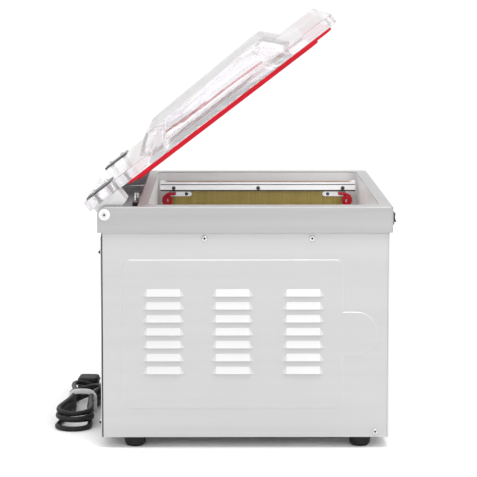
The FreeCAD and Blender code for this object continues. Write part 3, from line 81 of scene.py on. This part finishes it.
# ---------------------------------------------------------------- material helpers
class Surface:
    """One procedural material: a Principled shader and the textures that feed it."""

    def __init__(self, name, color, metallic=0.0, roughness=0.5):
        self.material = bpy.data.materials.new(name)
        self.material.use_nodes = True
        self.tree = self.material.node_tree
        self.shader = self.tree.nodes["Principled BSDF"]
        self.shader.inputs["Base Color"].default_value = (*color, 1)
        self.shader.inputs["Metallic"].default_value = metallic
        self.shader.inputs["Roughness"].default_value = roughness
        self.heights = []

    def set(self, **values):
        for key, value in values.items():
            self.shader.inputs[key.replace("_", " ")].default_value = value
        return self

    def node(self, kind):
        return self.tree.nodes.new(kind)

    def link(self, source, target):
        self.tree.links.new(source, target)

    def noise(self, scale, stretch=(1, 1, 1), detail=3.0, roughness=0.6):
        """Noise over the part's own coordinates, stretched along some axes; returns its value."""
        place = self.node("ShaderNodeTexCoord")
        mapping = self.node("ShaderNodeMapping")
        mapping.inputs["Scale"].default_value = stretch
        texture = self.node("ShaderNodeTexNoise")
        texture.inputs["Scale"].default_value = scale
        texture.inputs["Detail"].default_value = detail
        texture.inputs["Roughness"].default_value = roughness
        self.link(place.outputs["Object"], mapping.inputs["Vector"])
        self.link(mapping.outputs["Vector"], texture.inputs["Vector"])
        return texture.outputs["Fac"]

    def wave(self, scale, direction="X", profile="SIN", distortion=0.0):
        """Even waves along one axis of the part's own coordinates; returns their value."""
        place = self.node("ShaderNodeTexCoord")
        texture = self.node("ShaderNodeTexWave")
        texture.bands_direction = direction
        texture.wave_profile = profile
        texture.inputs["Scale"].default_value = scale
        texture.inputs["Distortion"].default_value = distortion
        self.link(place.outputs["Object"], texture.inputs["Vector"])
        return texture.outputs["Fac"]

    def calculate(self, operation, *values):
        """A math node over sockets and plain numbers; returns its value."""
        node = self.node("ShaderNodeMath")
        node.operation = operation
        for socket, value in zip(node.inputs, values):
            if isinstance(value, float):
                socket.default_value = value
            else:
                self.link(value, socket)
        return node.outputs["Value"]

    def spread(self, source, start, end, low=0.0, high=1.0):
        """Map a value that runs from start to end onto low to high; returns the result."""
        node = self.node("ShaderNodeMapRange")
        node.inputs["From Min"].default_value = start
        node.inputs["From Max"].default_value = end
        node.inputs["To Min"].default_value = low
        node.inputs["To Max"].default_value = high
        self.link(source, node.inputs["Value"])
        return node.outputs["Result"]

    def color(self, source, dark, light, low=0.3, high=0.7):
        """Run a value through a two colour ramp into the base colour."""
        ramp = self.node("ShaderNodeValToRGB")
        ramp.color_ramp.elements[0].position = low
        ramp.color_ramp.elements[0].color = (*dark, 1)
        ramp.color_ramp.elements[1].position = high
        ramp.color_ramp.elements[1].color = (*light, 1)
        self.link(source, ramp.inputs["Fac"])
        self.link(ramp.outputs["Color"], self.shader.inputs["Base Color"])
        return self

    def rough(self, source, low, high):
        """Let a value vary the roughness between two limits."""
        self.link(self.spread(source, 0.3, 0.7, low, high), self.shader.inputs["Roughness"])
        return self

    def bump(self, source, strength, distance):
        """Add a bump; several are chained one after the other."""
        bump = self.node("ShaderNodeBump")
        bump.inputs["Strength"].default_value = strength
        bump.inputs["Distance"].default_value = distance
        self.link(source, bump.inputs["Height"])
        if self.heights:
            self.link(self.heights[-1].outputs["Normal"], bump.inputs["Normal"])
        self.heights.append(bump)
        self.link(bump.outputs["Normal"], self.shader.inputs["Normal"])
        return self


def brushed(name, dark, light, stretch, roughness, metallic=0.9, strength=0.12):
    """Sheet metal with fine streaks along the axis that is not stretched."""
    surface = Surface(name, light, metallic)
    grain = surface.noise(60, stretch, 4)
    cloud = surface.noise(9, (1, 1, 1), 2)
    surface.color(grain, dark, light, 0.25, 0.75)
    surface.rough(cloud, roughness - 0.05, roughness + 0.05)
    surface.bump(grain, strength, 0.0004)
    return surface


def moulded(name, dark, light, roughness, grain=900, strength=0.15, gloss=0.5):
    """Plastic or rubber with a fine moulded grain and slight cloudiness."""
    surface = Surface(name, light).set(Specular_IOR_Level=gloss)
    cloud = surface.noise(35, (1, 1, 1), 3)
    fine = surface.noise(grain, (1, 1, 1), 2)
    surface.color(cloud, dark, light)
    surface.rough(fine, roughness - 0.06, roughness + 0.08)
    surface.bump(fine, strength, 0.0003)
    return surface


# The largest of a panel's sideways and lengthways normals: at FLAT it is a flat side, and from
# CREASED down it is a pressed face or a fold, which gets a painted highlight for the light it
# catches from above. The UNDERSIDE limits leave out faces that look down.
FLAT, CREASED = 0.985, 0.962
UNDERSIDE = (-0.9, -0.75)
# colour of the painted highlight on pressed faces and folds
CREASE_HIGHLIGHT_COLOR = (0.95, 0.95, 0.955, 1)


def with_painted_crease_highlights(surface, strength):
    """Paint a highlight on the pressed faces and folded edges that turn away from the flat sides
    of a panel, for the light they catch from above.
    """
    place = surface.node("ShaderNodeTexCoord")
    split = surface.node("ShaderNodeSeparateXYZ")
    surface.link(place.outputs["Normal"], split.inputs["Vector"])
    sideways = surface.calculate("ABSOLUTE", split.outputs["X"])
    lengthways = surface.calculate("ABSOLUTE", split.outputs["Y"])
    tilt = surface.spread(surface.calculate("MAXIMUM", sideways, lengthways), FLAT, CREASED)
    upward = surface.spread(split.outputs["Z"], *UNDERSIDE)
    share = surface.calculate("MULTIPLY", surface.calculate("MULTIPLY", tilt, upward), strength)
    mix = surface.node("ShaderNodeMix")
    mix.data_type = "RGBA"
    mix.inputs["B"].default_value = CREASE_HIGHLIGHT_COLOR
    before = surface.shader.inputs["Base Color"].links[0].from_socket
    surface.link(share, mix.inputs["Factor"])
    surface.link(before, mix.inputs["A"])
    surface.link(mix.outputs["Result"], surface.shader.inputs["Base Color"])
    return surface


# ---------------------------------------------------------------- materials
def gray(value):
    return (value, value, value)


def acrylic():
    """Thick clear sheet with a faint swirl and very fine scratches."""
    surface = Surface("clear_acrylic", (0.97, 0.945, 0.985), 0, 0.03)
    surface.set(Transmission_Weight=1.0, IOR=1.47, Alpha=0.8)
    swirl = surface.noise(14, (1, 1, 1), 2)
    haze = surface.noise(160, (1, 1, 1), 3)
    surface.rough(haze, 0.006, 0.03)
    surface.bump(swirl, 0.03, 0.002)
    return surface


def glass():
    """Clear glass that is dusty in places."""
    surface = Surface("clear_glass", (0.97, 0.985, 0.98), 0, 0.02)
    surface.set(Transmission_Weight=1.0, IOR=1.45)
    surface.rough(surface.noise(180, (1, 1, 1), 2), 0.01, 0.04)
    return surface


def insulation():
    """Ribbed fibre board."""
    surface = Surface("olive_board", (0.28, 0.21, 0.045), 0, 0.55)
    ribs = surface.wave(52, "Y", "SIN", 0.6)
    fibre = surface.noise(120, (1, 3, 0.1), 4)
    surface.color(fibre, (0.24, 0.175, 0.035), (0.34, 0.26, 0.065))
    surface.rough(fibre, 0.45, 0.65)
    surface.bump(ribs, 0.25, 0.0006)
    surface.bump(fibre, 0.3, 0.0004)
    return surface


MATERIALS = {
    # the casing steel carries a painted highlight on its pressed faces and folds
    "casing_steel": with_painted_crease_highlights(
        brushed("casing_steel", gray(0.50), gray(0.535), (1, 0.02, 1), 0.46, 0.35, 0.05), 0.34),
    "deck_steel": brushed("deck_steel", gray(0.38), gray(0.45), (0.03, 0.03, 1), 0.42, 0.5, 0.1),
    "clear_acrylic": acrylic(),
    "red_silicone": moulded(
        "red_silicone", (0.50, 0.002, 0.013), (0.60, 0.004, 0.020), 0.45, gloss=0.2),
    "red_lead": moulded("red_lead", (0.36, 0.003, 0.012), (0.46, 0.004, 0.016), 0.4, gloss=0.3),
    # black rubber; the strips in narrow gaps use it as painted shade
    "black_rubber": moulded("black_rubber", gray(0.008), gray(0.016), 0.6, 1100, 0.3, 0.3),
    # a brightened copy of the steel for the chamber tub: painted light standing in for light that
    # reaches into the chamber
    "tub_steel_painted_light": brushed("tub_steel_painted_light", gray(0.74), gray(0.84), (1, 0.02, 1), 0.42, 0.3, 0.08),
    "bar_aluminium": brushed("bar_aluminium", gray(0.93), gray(0.98), (1, 0.02, 1), 0.35, 0.25),
    "bright_hardware": brushed(
        "bright_hardware", gray(0.62), gray(0.76), (1, 1, 1), 0.2, 1.0, 0.05),
    # dark steel; the crosses on the screw heads use it as painted shade
    "dark_plate": brushed("dark_plate", gray(0.05), gray(0.09), (0.05, 1, 1), 0.35, 0.8),
    "white_nylon": moulded("white_nylon", gray(0.74), gray(0.82), 0.42, 700, 0.1),
    "olive_board": insulation(),
    "black_plastic": moulded("black_plastic", gray(0.018), gray(0.03), 0.35, 1400, 0.12),
    "membrane": moulded("membrane", (0.012, 0.03, 0.07), (0.016, 0.04, 0.09), 0.38, 1600, 0.2),
    "dark_window": moulded(
        "dark_window", (0.02, 0.004, 0.004), (0.03, 0.006, 0.006), 0.12, 300, 0.02),
    "segment_red": moulded("segment_red", (0.6, 0.02, 0.01), (0.8, 0.03, 0.02), 0.4, 600, 0.05),
    "print_light": moulded("print_light", gray(0.55), gray(0.68), 0.5, 1200, 0.05),
    "key_blue": moulded("key_blue", (0.20, 0.28, 0.36), (0.24, 0.33, 0.42), 0.5, 1200, 0.2),
    "dial_white": moulded("dial_white", gray(0.78), gray(0.84), 0.5, 900, 0.04),
    "needle_black": moulded("needle_black", gray(0.012), gray(0.02), 0.3, 900, 0.04),
    "clear_glass": glass(),
    "tape_brown": moulded("tape_brown", (0.22, 0.12, 0.045), (0.28, 0.16, 0.06), 0.45, 500, 0.3),
    "ribbon_metal": brushed("ribbon_metal", gray(0.40), gray(0.52), (1, 0.02, 1), 0.3, 1.0),
    "spring_steel": brushed("spring_steel", gray(0.45), gray(0.6), (1, 1, 1), 0.25, 1.0, 0.05),
    "cast_grey": moulded("cast_grey", (0.10, 0.11, 0.12), (0.13, 0.14, 0.155), 0.5, 260, 0.6),
    "laminated_iron": brushed(
        "laminated_iron", gray(0.08), gray(0.14), (1, 0.02, 0.02), 0.5, 0.7, 0.5),
    "board_green": moulded(
        "board_green", (0.01, 0.09, 0.035), (0.015, 0.12, 0.05), 0.4, 400, 0.1),
    "hose_clear": moulded("hose_clear", gray(0.03), gray(0.05), 0.35, 700, 0.1),
    "zinc_plate": brushed("zinc_plate", gray(0.55), gray(0.70), (0.06, 1, 1), 0.36, 0.85, 0.08),
    "cord_black": moulded("cord_black", gray(0.007), gray(0.014), 0.45, 1500, 0.2, 0.3),
}
MATERIALS["segment_red"].set(Emission_Color=(0.9, 0.03, 0.01, 1), Emission_Strength=0.8)
SLOTS = {part["node"]: part["material_slot"] for part in frame["record"]["subparts"]}


def dress(obj, slot, angle=32):
    """Give a mesh its material and smooth shading with sharp edges kept."""
    obj.data.materials.clear()
    obj.data.materials.append(MATERIALS[slot].material)
    if obj.type == "MESH":
        obj.data.shade_smooth()
        obj.data.set_sharp_from_angle(angle=math.radians(angle))


# nodes dressed in another material than their slot's: the chamber tub in a brightened copy of the
# steel, painted light that stands in for light reaching into the chamber, and the seal bar screws
# in dark steel
MATERIAL_OVERRIDES = {"chamber_tub": "tub_steel_painted_light", "seal_bar_screws": "dark_plate"}
for name, obj in nodes.items():
    dress(obj, MATERIAL_OVERRIDES.get(name, SLOTS[name]))

# the gasket would otherwise tint the steel below it red
nodes["lid_gasket"].visible_diffuse = False


# ---------------------------------------------------------------- cord
CORD_DIAMETER = 0.006
# the points below and the sizes of the hank are in millimetres
LEAD = [
    (120, 174.5, 42), (120, 175.3125, 29), (115.2, 176.1, 17.45), (106.5, 176.8, 8.75),
    (95.1, 177.6, 3.6),
]
HANK_CORNER = Vector((-128, 201, 0))
HANK_TURN = Matrix.Rotation(math.radians(-3.4), 3, "Z")
TIE_X = 108.0
BELLY = (72, 146)  # where the turns are widest on either side of the tie
FOLD = 19.5        # radius of a half turn
LAYER = 6.15       # height from one layer of the hank to the next
RESTING = 3.05     # height of a cord's middle when it lies on the floor
# layer, near end, far end and droop of the near end of each turn, in winding order
TURNS = [(0, 3.6, 172, 0.0), (2, 10, 174, 2.0), (3, 17, 196, 3.0), (1, 24, None, 0.0)]


def in_hank(x, y, z):
    """A point counted from the near end of the hank, along its length."""
    return HANK_CORNER + HANK_TURN @ Vector((x, y, z))


def fold_points(x, toward, before, after, drop, low_first):
    """A half turn of eight corner points whose outermost point is at x; z runs before to after."""
    middle = x - toward * FOLD
    half_step = math.radians(15)
    reach = FOLD / math.cos(half_step)
    straight = middle - toward * 1.5 * FOLD * math.tan(half_step)
    sign = -1 if low_first else 1
    corners = [(straight, sign * FOLD)]
    for k in range(6):
        angle = math.radians(15 + 30 * k)
        corners.append((middle + toward * reach * math.sin(angle), sign * reach * math.cos(angle)))
    corners.append((straight, -sign * FOLD))
    points = []
    for k, (px, py) in enumerate(corners):
        along = min(max((k - 1.5) / 4, 0), 1)
        ease = along * along * (3 - 2 * along)
        pz = before + (after - before) * ease - drop * math.sin(math.pi * k / 7)
        points.append((px, py, pz))
    return points


def hank_points():
    """The tied bundle: long flat turns, pinched at the tie and fanning out at their ends."""
    near_belly, far_belly = BELLY
    points = [(213.5, -10, RESTING), (200.02, -10, RESTING), (174, -11.5, RESTING)]
    for i, (layer, near, far, droop) in enumerate(TURNS):
        z = RESTING + layer * LAYER
        wander = random.uniform(-2, 2)
        points += [(far_belly, -15 + wander, z), (TIE_X, -10.5, z), (near_belly, -14 - wander, z)]
        points += fold_points(near, -1, z, z, droop, True)
        points += [(near_belly, 14 + wander, z), (TIE_X, 10.5, z), (far_belly, 15 - wander, z)]
        if far is not None:
            points += fold_points(far, 1, z, RESTING + TURNS[i + 1][0] * LAYER, 0, False)
    points += [(174, 12.2, 9.3), (188, 8.8, 10), (202, 8.5, 10)]  # up to the plug
    return [tuple(in_hank(*point)) for point in points]


def nurbs_curve(name, *routes):
    """A curve of one NURBS spline for each route of points in metres."""
    curve = bpy.data.curves.new(name, "CURVE")
    curve.dimensions = "3D"
    for route in routes:
        spline = curve.splines.new("NURBS")
        spline.points.add(len(route) - 1)
        for point, place in zip(spline.points, route):
            point.co = (*place, 1)
        spline.order_u = 3
        spline.use_endpoint_u = True
    return curve


def make_cord():
    """The mains cord, from the gland through the hank to the plug."""
    route = [[c * MM for c in place] for place in LEAD + hank_points()]
    curve = nurbs_curve("power_cord", route)
    curve.resolution_u = 8
    curve.bevel_depth = CORD_DIAMETER / 2
    curve.bevel_resolution = 4
    curve.use_fill_caps = True
    curve.materials.append(MATERIALS["cord_black"].material)
    cord = bpy.data.objects.new("power_cord", curve)
    scene.collection.objects.link(cord)
    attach(cord, "housing")
    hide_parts("cord_lead", "cord_hank")
    return cord


def make_tie():
    """A thin white strap over the hank."""
    half, top = 15.0, 26.4
    outline = [(-half, 0.4), (-half, 14), (-half, top - 5), (-half + 5, top), (0, top + 0.4),
               (half - 5, top), (half, top - 5), (half, 14), (half, 0.4)]
    curve = nurbs_curve("cord_tie_strap", [in_hank(TIE_X, y, z) * MM for y, z in outline])
    curve.bevel_depth = 0.0011
    curve.extrude = 0.0022
    curve.bevel_resolution = 3
    curve.materials.append(MATERIALS["white_nylon"].material)
    strap = bpy.data.objects.new("cord_tie_strap", curve)
    scene.collection.objects.link(strap)
    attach(strap, "housing")
    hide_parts("cord_tie")
    return strap


cord = make_cord()
strap = make_tie()


# ---------------------------------------------------------------- small pieces
def add_mesh(name, builder, slot, body, finish=None):
    """Turn a bmesh into a piece that rides a body, in a finish other than the slot's own."""
    mesh = bpy.data.meshes.new(name)
    builder.to_mesh(mesh)
    builder.free()
    obj = bpy.data.objects.new(name, mesh)
    scene.collection.objects.link(obj)
    dress(obj, finish or slot)
    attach(obj, body)
    return obj


def add_box(builder, low, high):
    """Add a box between two corners, in metres, to a bmesh."""
    low, high = Vector(low), Vector(high)
    made = bmesh.ops.create_cube(builder, size=1)["verts"]
    for vert in made:
        vert.co = Vector(((low[i] + high[i]) / 2 + vert.co[i] * (high[i] - low[i]))
                         for i in range(3))
    return made


def add_wires(name, routes, radius, finish):
    """Round wires along routes of points in metres, turned into one mesh."""
    curve = nurbs_curve(name, *routes)
    curve.resolution_u = 8
    curve.bevel_depth = radius
    curve.bevel_resolution = 3
    curve.use_fill_caps = True
    wires = bpy.data.objects.new(name, curve)
    scene.collection.objects.link(wires)
    shape = wires.evaluated_get(bpy.context.evaluated_depsgraph_get())
    mesh = bpy.data.meshes.new_from_object(shape)
    bpy.data.objects.remove(wires)
    obj = bpy.data.objects.new(name, mesh)
    scene.collection.objects.link(obj)
    dress(obj, finish)
    return obj


PRINT_DEPTH = 0.00012
PRINT_LIFT = 0.00002


def add_bar(builder, start, end, y, width):
    """A flat bar between two (x, z) points on a face that looks along -Y."""
    start, end = Vector(start), Vector(end)
    run = end - start
    size = Matrix.Diagonal((run.length, PRINT_DEPTH, width, 1))
    turn = Matrix.Rotation(-math.atan2(run.y, run.x), 4, "Y")
    middle = (start + end) / 2
    place = Matrix.Translation((middle.x, y, middle.y))
    bmesh.ops.create_cube(builder, size=1, matrix=place @ turn @ size)


def on_circle(centre, radius, angle):
    return (centre[0] + radius * math.cos(angle), centre[1] + radius * math.sin(angle))


def add_ring(builder, centre, y, radius, width, segments=40):
    """A thin printed ring on a face that looks along -Y, made of short bars."""
    points = [on_circle(centre, radius, 2 * math.pi * k / segments) for k in range(segments)]
    for k in range(segments):
        add_bar(builder, points[k - 1], points[k], y, width)


def islands(obj):
    """The separate closed shells of a mesh, each as (low, high) corners in the frame."""
    builder = bmesh.new()
    builder.from_mesh(obj.data)
    builder.transform(obj.matrix_world)
    found, seen = [], set()
    for start in builder.verts:
        if start.index in seen:
            continue
        seen.add(start.index)
        shell, queue = [], [start]
        while queue:
            vert = queue.pop()
            shell.append(vert.co.copy())
            for edge in vert.link_edges:
                other = edge.other_vert(vert)
                if other.index not in seen:
                    seen.add(other.index)
                    queue.append(other)
        found.append((Vector(min(c[i] for c in shell) for i in range(3)),
                      Vector(max(c[i] for c in shell) for i in range(3))))
    builder.free()
    return found


def make_painted_screw_shade():
    """Painted shade: a dark cross on every screw head of the side panels and the hinge caps,
    standing in for the shade in its cross recess.
    """
    half_wide, half_long, deep, proud = 0.16, 0.52, 0.0003, 0.00001
    cross = bmesh.new()
    for node in ("panel_screws", "hinge_cap_screws"):
        for low, high in islands(nodes[node]):
            side = 1 if low.x + high.x > 0 else -1
            face = high.x if side > 0 else low.x
            middle = ((low.y + high.y) / 2, (low.z + high.z) / 2)
            radius = (high.z - low.z) / 2
            wide, long = half_wide * radius, half_long * radius
            for half_y, half_z in ((wide, long), (long, wide)):
                ends = sorted((face - side * deep, face + side * proud))
                add_box(cross, (ends[0], middle[0] - half_y, middle[1] - half_z),
                        (ends[1], middle[0] + half_y, middle[1] + half_z))
    add_mesh("screw_cross_painted_shade", cross, "dark_plate", "housing")


def make_torsion_springs():
    """The two torsion springs, each with one leg on the deck and its arm on the lid."""
    source = nodes["lid_springs"]
    for side, name in ((-1, "torsion_spring_left"), (1, "torsion_spring_right")):
        builder = bmesh.new()
        builder.from_mesh(source.data)
        builder.transform(source.matrix_world)
        other = [vert for vert in builder.verts if vert.co.x * side < 0]
        bmesh.ops.delete(builder, geom=other, context="VERTS")
        mesh = bpy.data.meshes.new(name)
        builder.to_mesh(mesh)
        builder.free()
        spring = bpy.data.objects.new(name, mesh)
        scene.collection.objects.link(spring)
        dress(spring, "spring_steel")
        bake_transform(spring)
        if side < 0:
            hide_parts("lid_springs")


def make_gauge_scale():
    """Ticks over three quarters of the dial, from lower left round to lower right."""
    low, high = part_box("gauge_dial")
    middle = ((low.x + high.x) / 2, (low.z + high.z) / 2)
    radius = (high.z - low.z) / 2
    y = low.y - PRINT_LIFT
    builder = bmesh.new()
    angles = [math.radians(225 - 5.4 * k) for k in range(51)]
    for k, angle in enumerate(angles):
        inner, width = (0.74, 0.0007) if k % 5 == 0 else (0.82, 0.0003)
        add_bar(builder, on_circle(middle, radius * inner, angle),
                on_circle(middle, radius * 0.9, angle), y, width)
    for start, end in zip(angles, angles[1:]):
        add_bar(builder, on_circle(middle, radius * 0.9, start),
                on_circle(middle, radius * 0.9, end), y, 0.0004)
    add_mesh("gauge_scale", builder, "needle_black", "housing")


# ends of the seven segments of a digit, in widths and heights of the digit
SEGMENTS = {"top": ((0, 1), (1, 1)), "middle": ((0, 0.5), (1, 0.5)), "bottom": ((0, 0), (1, 0)),
            "left_up": ((0, 0.5), (0, 1)), "left_down": ((0, 0), (0, 0.5)),
            "right_up": ((1, 0.5), (1, 1)), "right_down": ((1, 0), (1, 0.5))}
DIGITS = {3: ("top", "middle", "bottom", "right_up", "right_down"),
          0: ("top", "bottom", "left_up", "left_down", "right_up", "right_down")}


def make_display():
    """A lit number of seconds behind the display window."""
    low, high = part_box("display_window")
    builder = bmesh.new()
    tall, wide, pitch, gap, stroke, lift = 0.013, 0.0072, 0.0135, 0.0009, 0.0014, 0.00001
    x0 = (low.x + high.x) / 2 - 0.0105
    z0 = (low.z + high.z) / 2 - tall / 2
    for k, digit in enumerate((3, 0)):
        x = x0 + k * pitch
        for name in DIGITS[digit]:
            (ax, az), (bx, bz) = SEGMENTS[name]
            inset_x = gap if ax != bx else 0
            inset_z = gap if az != bz else 0
            add_bar(builder, (x + ax * wide + inset_x, z0 + az * tall + inset_z),
                    (x + bx * wide - inset_x, z0 + bz * tall - inset_z), low.y - lift, stroke)
    add_mesh("display_digits", builder, "dark_window", "housing", "segment_red")


# bars of the symbol over each key: start and end from the symbol's middle, and width
MARKS = {
    "key_1": [((0, 0), (0, 0.0036), 0.0006)],
    "key_2": [((-0.0028, 0), (0.0028, 0), 0.0007)],
    "key_3": [((-0.0028, 0), (0.0028, 0), 0.0007), ((0, -0.0028), (0, 0.0028), 0.0007)],
    "key_4": [((-0.0024, -0.0024), (0.0024, 0.0024), 0.0007),
              ((-0.0024, 0.0024), (0.0024, -0.0024), 0.0007)],
}
RING_LINE = 0.0005


def make_membrane_print():
    """The printed border, key rings and plain symbols of the control membrane."""
    low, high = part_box("control_membrane")
    y = low.y - PRINT_LIFT
    builder = bmesh.new()
    inset = 0.003
    x0, x1, z0, z1 = low.x + inset, high.x - inset, low.z + inset, high.z - inset
    for start, end in (((x0, z0), (x1, z0)), ((x1, z0), (x1, z1)), ((x1, z1), (x0, z1)),
                       ((x0, z1), (x0, z0))):
        add_bar(builder, start, end, y, 0.0006)
    for node, bars in MARKS.items():
        key_low, key_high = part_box(node)
        x, z = (key_low.x + key_high.x) / 2, (key_low.z + key_high.z) / 2
        add_ring(builder, (x, z), y, 0.0092, RING_LINE)
        mark = z + 0.0165
        if node == "key_1":
            add_ring(builder, (x, mark), y, 0.0026, RING_LINE, 24)
        for start, end, width in bars:
            ends = [(x + across, mark + up) for across, up in (start, end)]
            add_bar(builder, *ends, y, width)
    window_low, window_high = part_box("display_window")
    for k in range(3):
        lamp = (window_high.x + 0.012, window_low.z + 0.004 + 0.009 * k)
        add_ring(builder, lamp, y, 0.0012, 0.0011, 16)
    add_mesh("membrane_print", builder, "membrane", "housing", "print_light")


def make_rear_gap_shade():
    """Painted shade: a dark strip in the narrow gap between the rear panel and the folded edges of
    the side panels, standing in for the shade in that gap.
    """
    low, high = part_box("rear_panel")
    outer, width = 0.20902, 0.002
    builder = bmesh.new()
    for side in (-1, 1):
        left, right = sorted((side * outer, side * outer - side * width))
        add_box(builder, (left, low.y - 0.0014, low.z), (right, low.y - 0.00015, high.z + 0.005))
    add_mesh("rear_panel_gap_shade", builder, "black_rubber", "housing")


def make_bar_strips_and_shade():
    """Dark strips in the groove along both faces of the seal bar, and painted shade: a dark strip
    along the lower edge of the bar's near face, standing in for the shade under the bar.
    """
    low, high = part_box("seal_bar")
    builder = bmesh.new()
    inner, outer = 0.0014, 0.0003
    # dark strips in the groove of each face
    for x0, x1 in ((low.x + outer, low.x + inner), (high.x - inner, high.x - outer)):
        add_box(builder, (x0, low.y + 0.0005, high.z - 0.0042),
                (x1, high.y - 0.0005, high.z - 0.0024))
    # painted shade along the lower edge of the near face, where shade falls under the bar
    add_box(builder, (low.x - 0.00005, low.y + 0.0001, low.z + 0.00002),
            (low.x + 0.001, high.y - 0.0001, low.z + 0.0016))
    add_mesh("seal_bar_dark_strips_and_shade", builder, "black_rubber", "sealing_bar")


def make_seal_leads():
    """Red covered leads, bunched up in loose loops at both ends of the seal bar."""
    low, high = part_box("seal_wires")
    radius = 0.0016
    turn_step = math.radians(60)
    routes = []
    for side, end in ((1, high.y), (-1, low.y)):
        for layer in range(2):
            x = low.x + radius + layer * 0.0016
            y = end - side * (radius + 0.0072)
            z = high.z - 0.0105
            top = high.z - radius
            route = [(x, end - side * 0.020, top), (x, end - side * 0.010, top)]
            for step in range(14):
                angle = math.pi / 2 - turn_step * (step + layer)
                reach_y = 0.0068 - 0.00028 * step + random.uniform(-0.0006, 0.0002)
                reach_z = 0.0088 - 0.00035 * step + random.uniform(-0.0006, 0.0002)
                route.append((x + random.uniform(0, 0.0013), y + side * reach_y * math.cos(angle),
                              z + reach_z * math.sin(angle)))
            route += [(x, y, z - 0.006), (x, y - side * 0.002 * layer, low.z + radius)]
            routes.append(route)
    leads = add_wires("seal_bar_leads", routes, radius, "red_lead")
    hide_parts("seal_wires")
    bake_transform(leads)


make_painted_screw_shade()
make_bar_strips_and_shade()
make_seal_leads()
make_torsion_springs()
make_rear_gap_shade()
make_gauge_scale()
make_display()
make_membrane_print()


# ---------------------------------------------------------------- floor, lights and world
# strength of the sky near the horizon and overhead, and what the backdrop on the +X side adds
SKY_SIDE = 0.50
SKY_TOP = 1.2
BACKDROP = 0.27
SEEN_WHITE = 1.05  # strength seen straight by the camera and through the clear lid


def make_floor():
    """A large sheet of plain pale paper."""
    mesh = bpy.data.meshes.new("floor")
    builder = bmesh.new()
    bmesh.ops.create_grid(builder, x_segments=1, y_segments=1, size=14)
    builder.to_mesh(mesh)
    builder.free()
    floor = bpy.data.objects.new("floor", mesh)
    surface = Surface("floor_paper", gray(0.96), 0, 0.9).set(Specular_IOR_Level=0.2)
    surface.color(surface.noise(3, (1, 1, 1), 2), gray(0.955), gray(0.965))
    mesh.materials.append(surface.material)
    scene.collection.objects.link(floor)


def area_light(name, place, target, power, width, height):
    """A rectangular lamp at a place, turned to a target."""
    data = bpy.data.lights.new(name, "AREA")
    data.shape = "RECTANGLE"
    data.size = width
    data.size_y = height
    data.energy = power
    lamp = bpy.data.objects.new(name, data)
    lamp.location = place
    lamp.rotation_mode = "QUATERNION"
    lamp.rotation_quaternion = (Vector(target) - Vector(place)).to_track_quat("-Z", "Y")
    scene.collection.objects.link(lamp)


def make_world():
    """A bright studio: lighter overhead and behind the machine than at its sides."""
    world = bpy.data.worlds.new("studio")
    world.use_nodes = True
    tree = world.node_tree
    background = tree.nodes["Background"]
    background.inputs["Color"].default_value = (1, 1, 1, 1)
    place = tree.nodes.new("ShaderNodeTexCoord")
    split = tree.nodes.new("ShaderNodeSeparateXYZ")
    height = tree.nodes.new("ShaderNodeMapRange")
    height.inputs["From Min"].default_value = -0.1
    height.inputs["From Max"].default_value = 0.75
    height.inputs["To Min"].default_value = SKY_SIDE
    height.inputs["To Max"].default_value = SKY_TOP
    backdrop = tree.nodes.new("ShaderNodeMapRange")
    backdrop.inputs["From Max"].default_value = 0.9
    backdrop.inputs["To Max"].default_value = BACKDROP
    sky = tree.nodes.new("ShaderNodeMath")
    path = tree.nodes.new("ShaderNodeLightPath")
    direct = tree.nodes.new("ShaderNodeMath")
    direct.operation = "MAXIMUM"
    seen = tree.nodes.new("ShaderNodeMix")
    seen.inputs["B"].default_value = SEEN_WHITE
    tree.links.new(place.outputs["Generated"], split.inputs["Vector"])
    tree.links.new(split.outputs["Z"], height.inputs["Value"])
    tree.links.new(split.outputs["X"], backdrop.inputs["Value"])
    tree.links.new(height.outputs["Result"], sky.inputs[0])
    tree.links.new(backdrop.outputs["Result"], sky.inputs[1])
    tree.links.new(sky.outputs["Value"], seen.inputs["A"])
    tree.links.new(path.outputs["Is Camera Ray"], direct.inputs[0])
    tree.links.new(path.outputs["Is Transmission Ray"], direct.inputs[1])
    tree.links.new(direct.outputs["Value"], seen.inputs["Factor"])
    tree.links.new(seen.outputs["Result"], background.inputs["Strength"])
    scene.world = world


make_floor()
make_world()
area_light("key", place=(-1.2, -0.4, 3.0), target=(0, 0, 0.2), power=34, width=1.2, height=1.2)
area_light("fill", place=(-2.3, -0.5, 1.15), target=(0.1, -0.02, 0.25), power=7,
           width=1.0, height=0.6)

scene.view_settings.view_transform = "Standard"
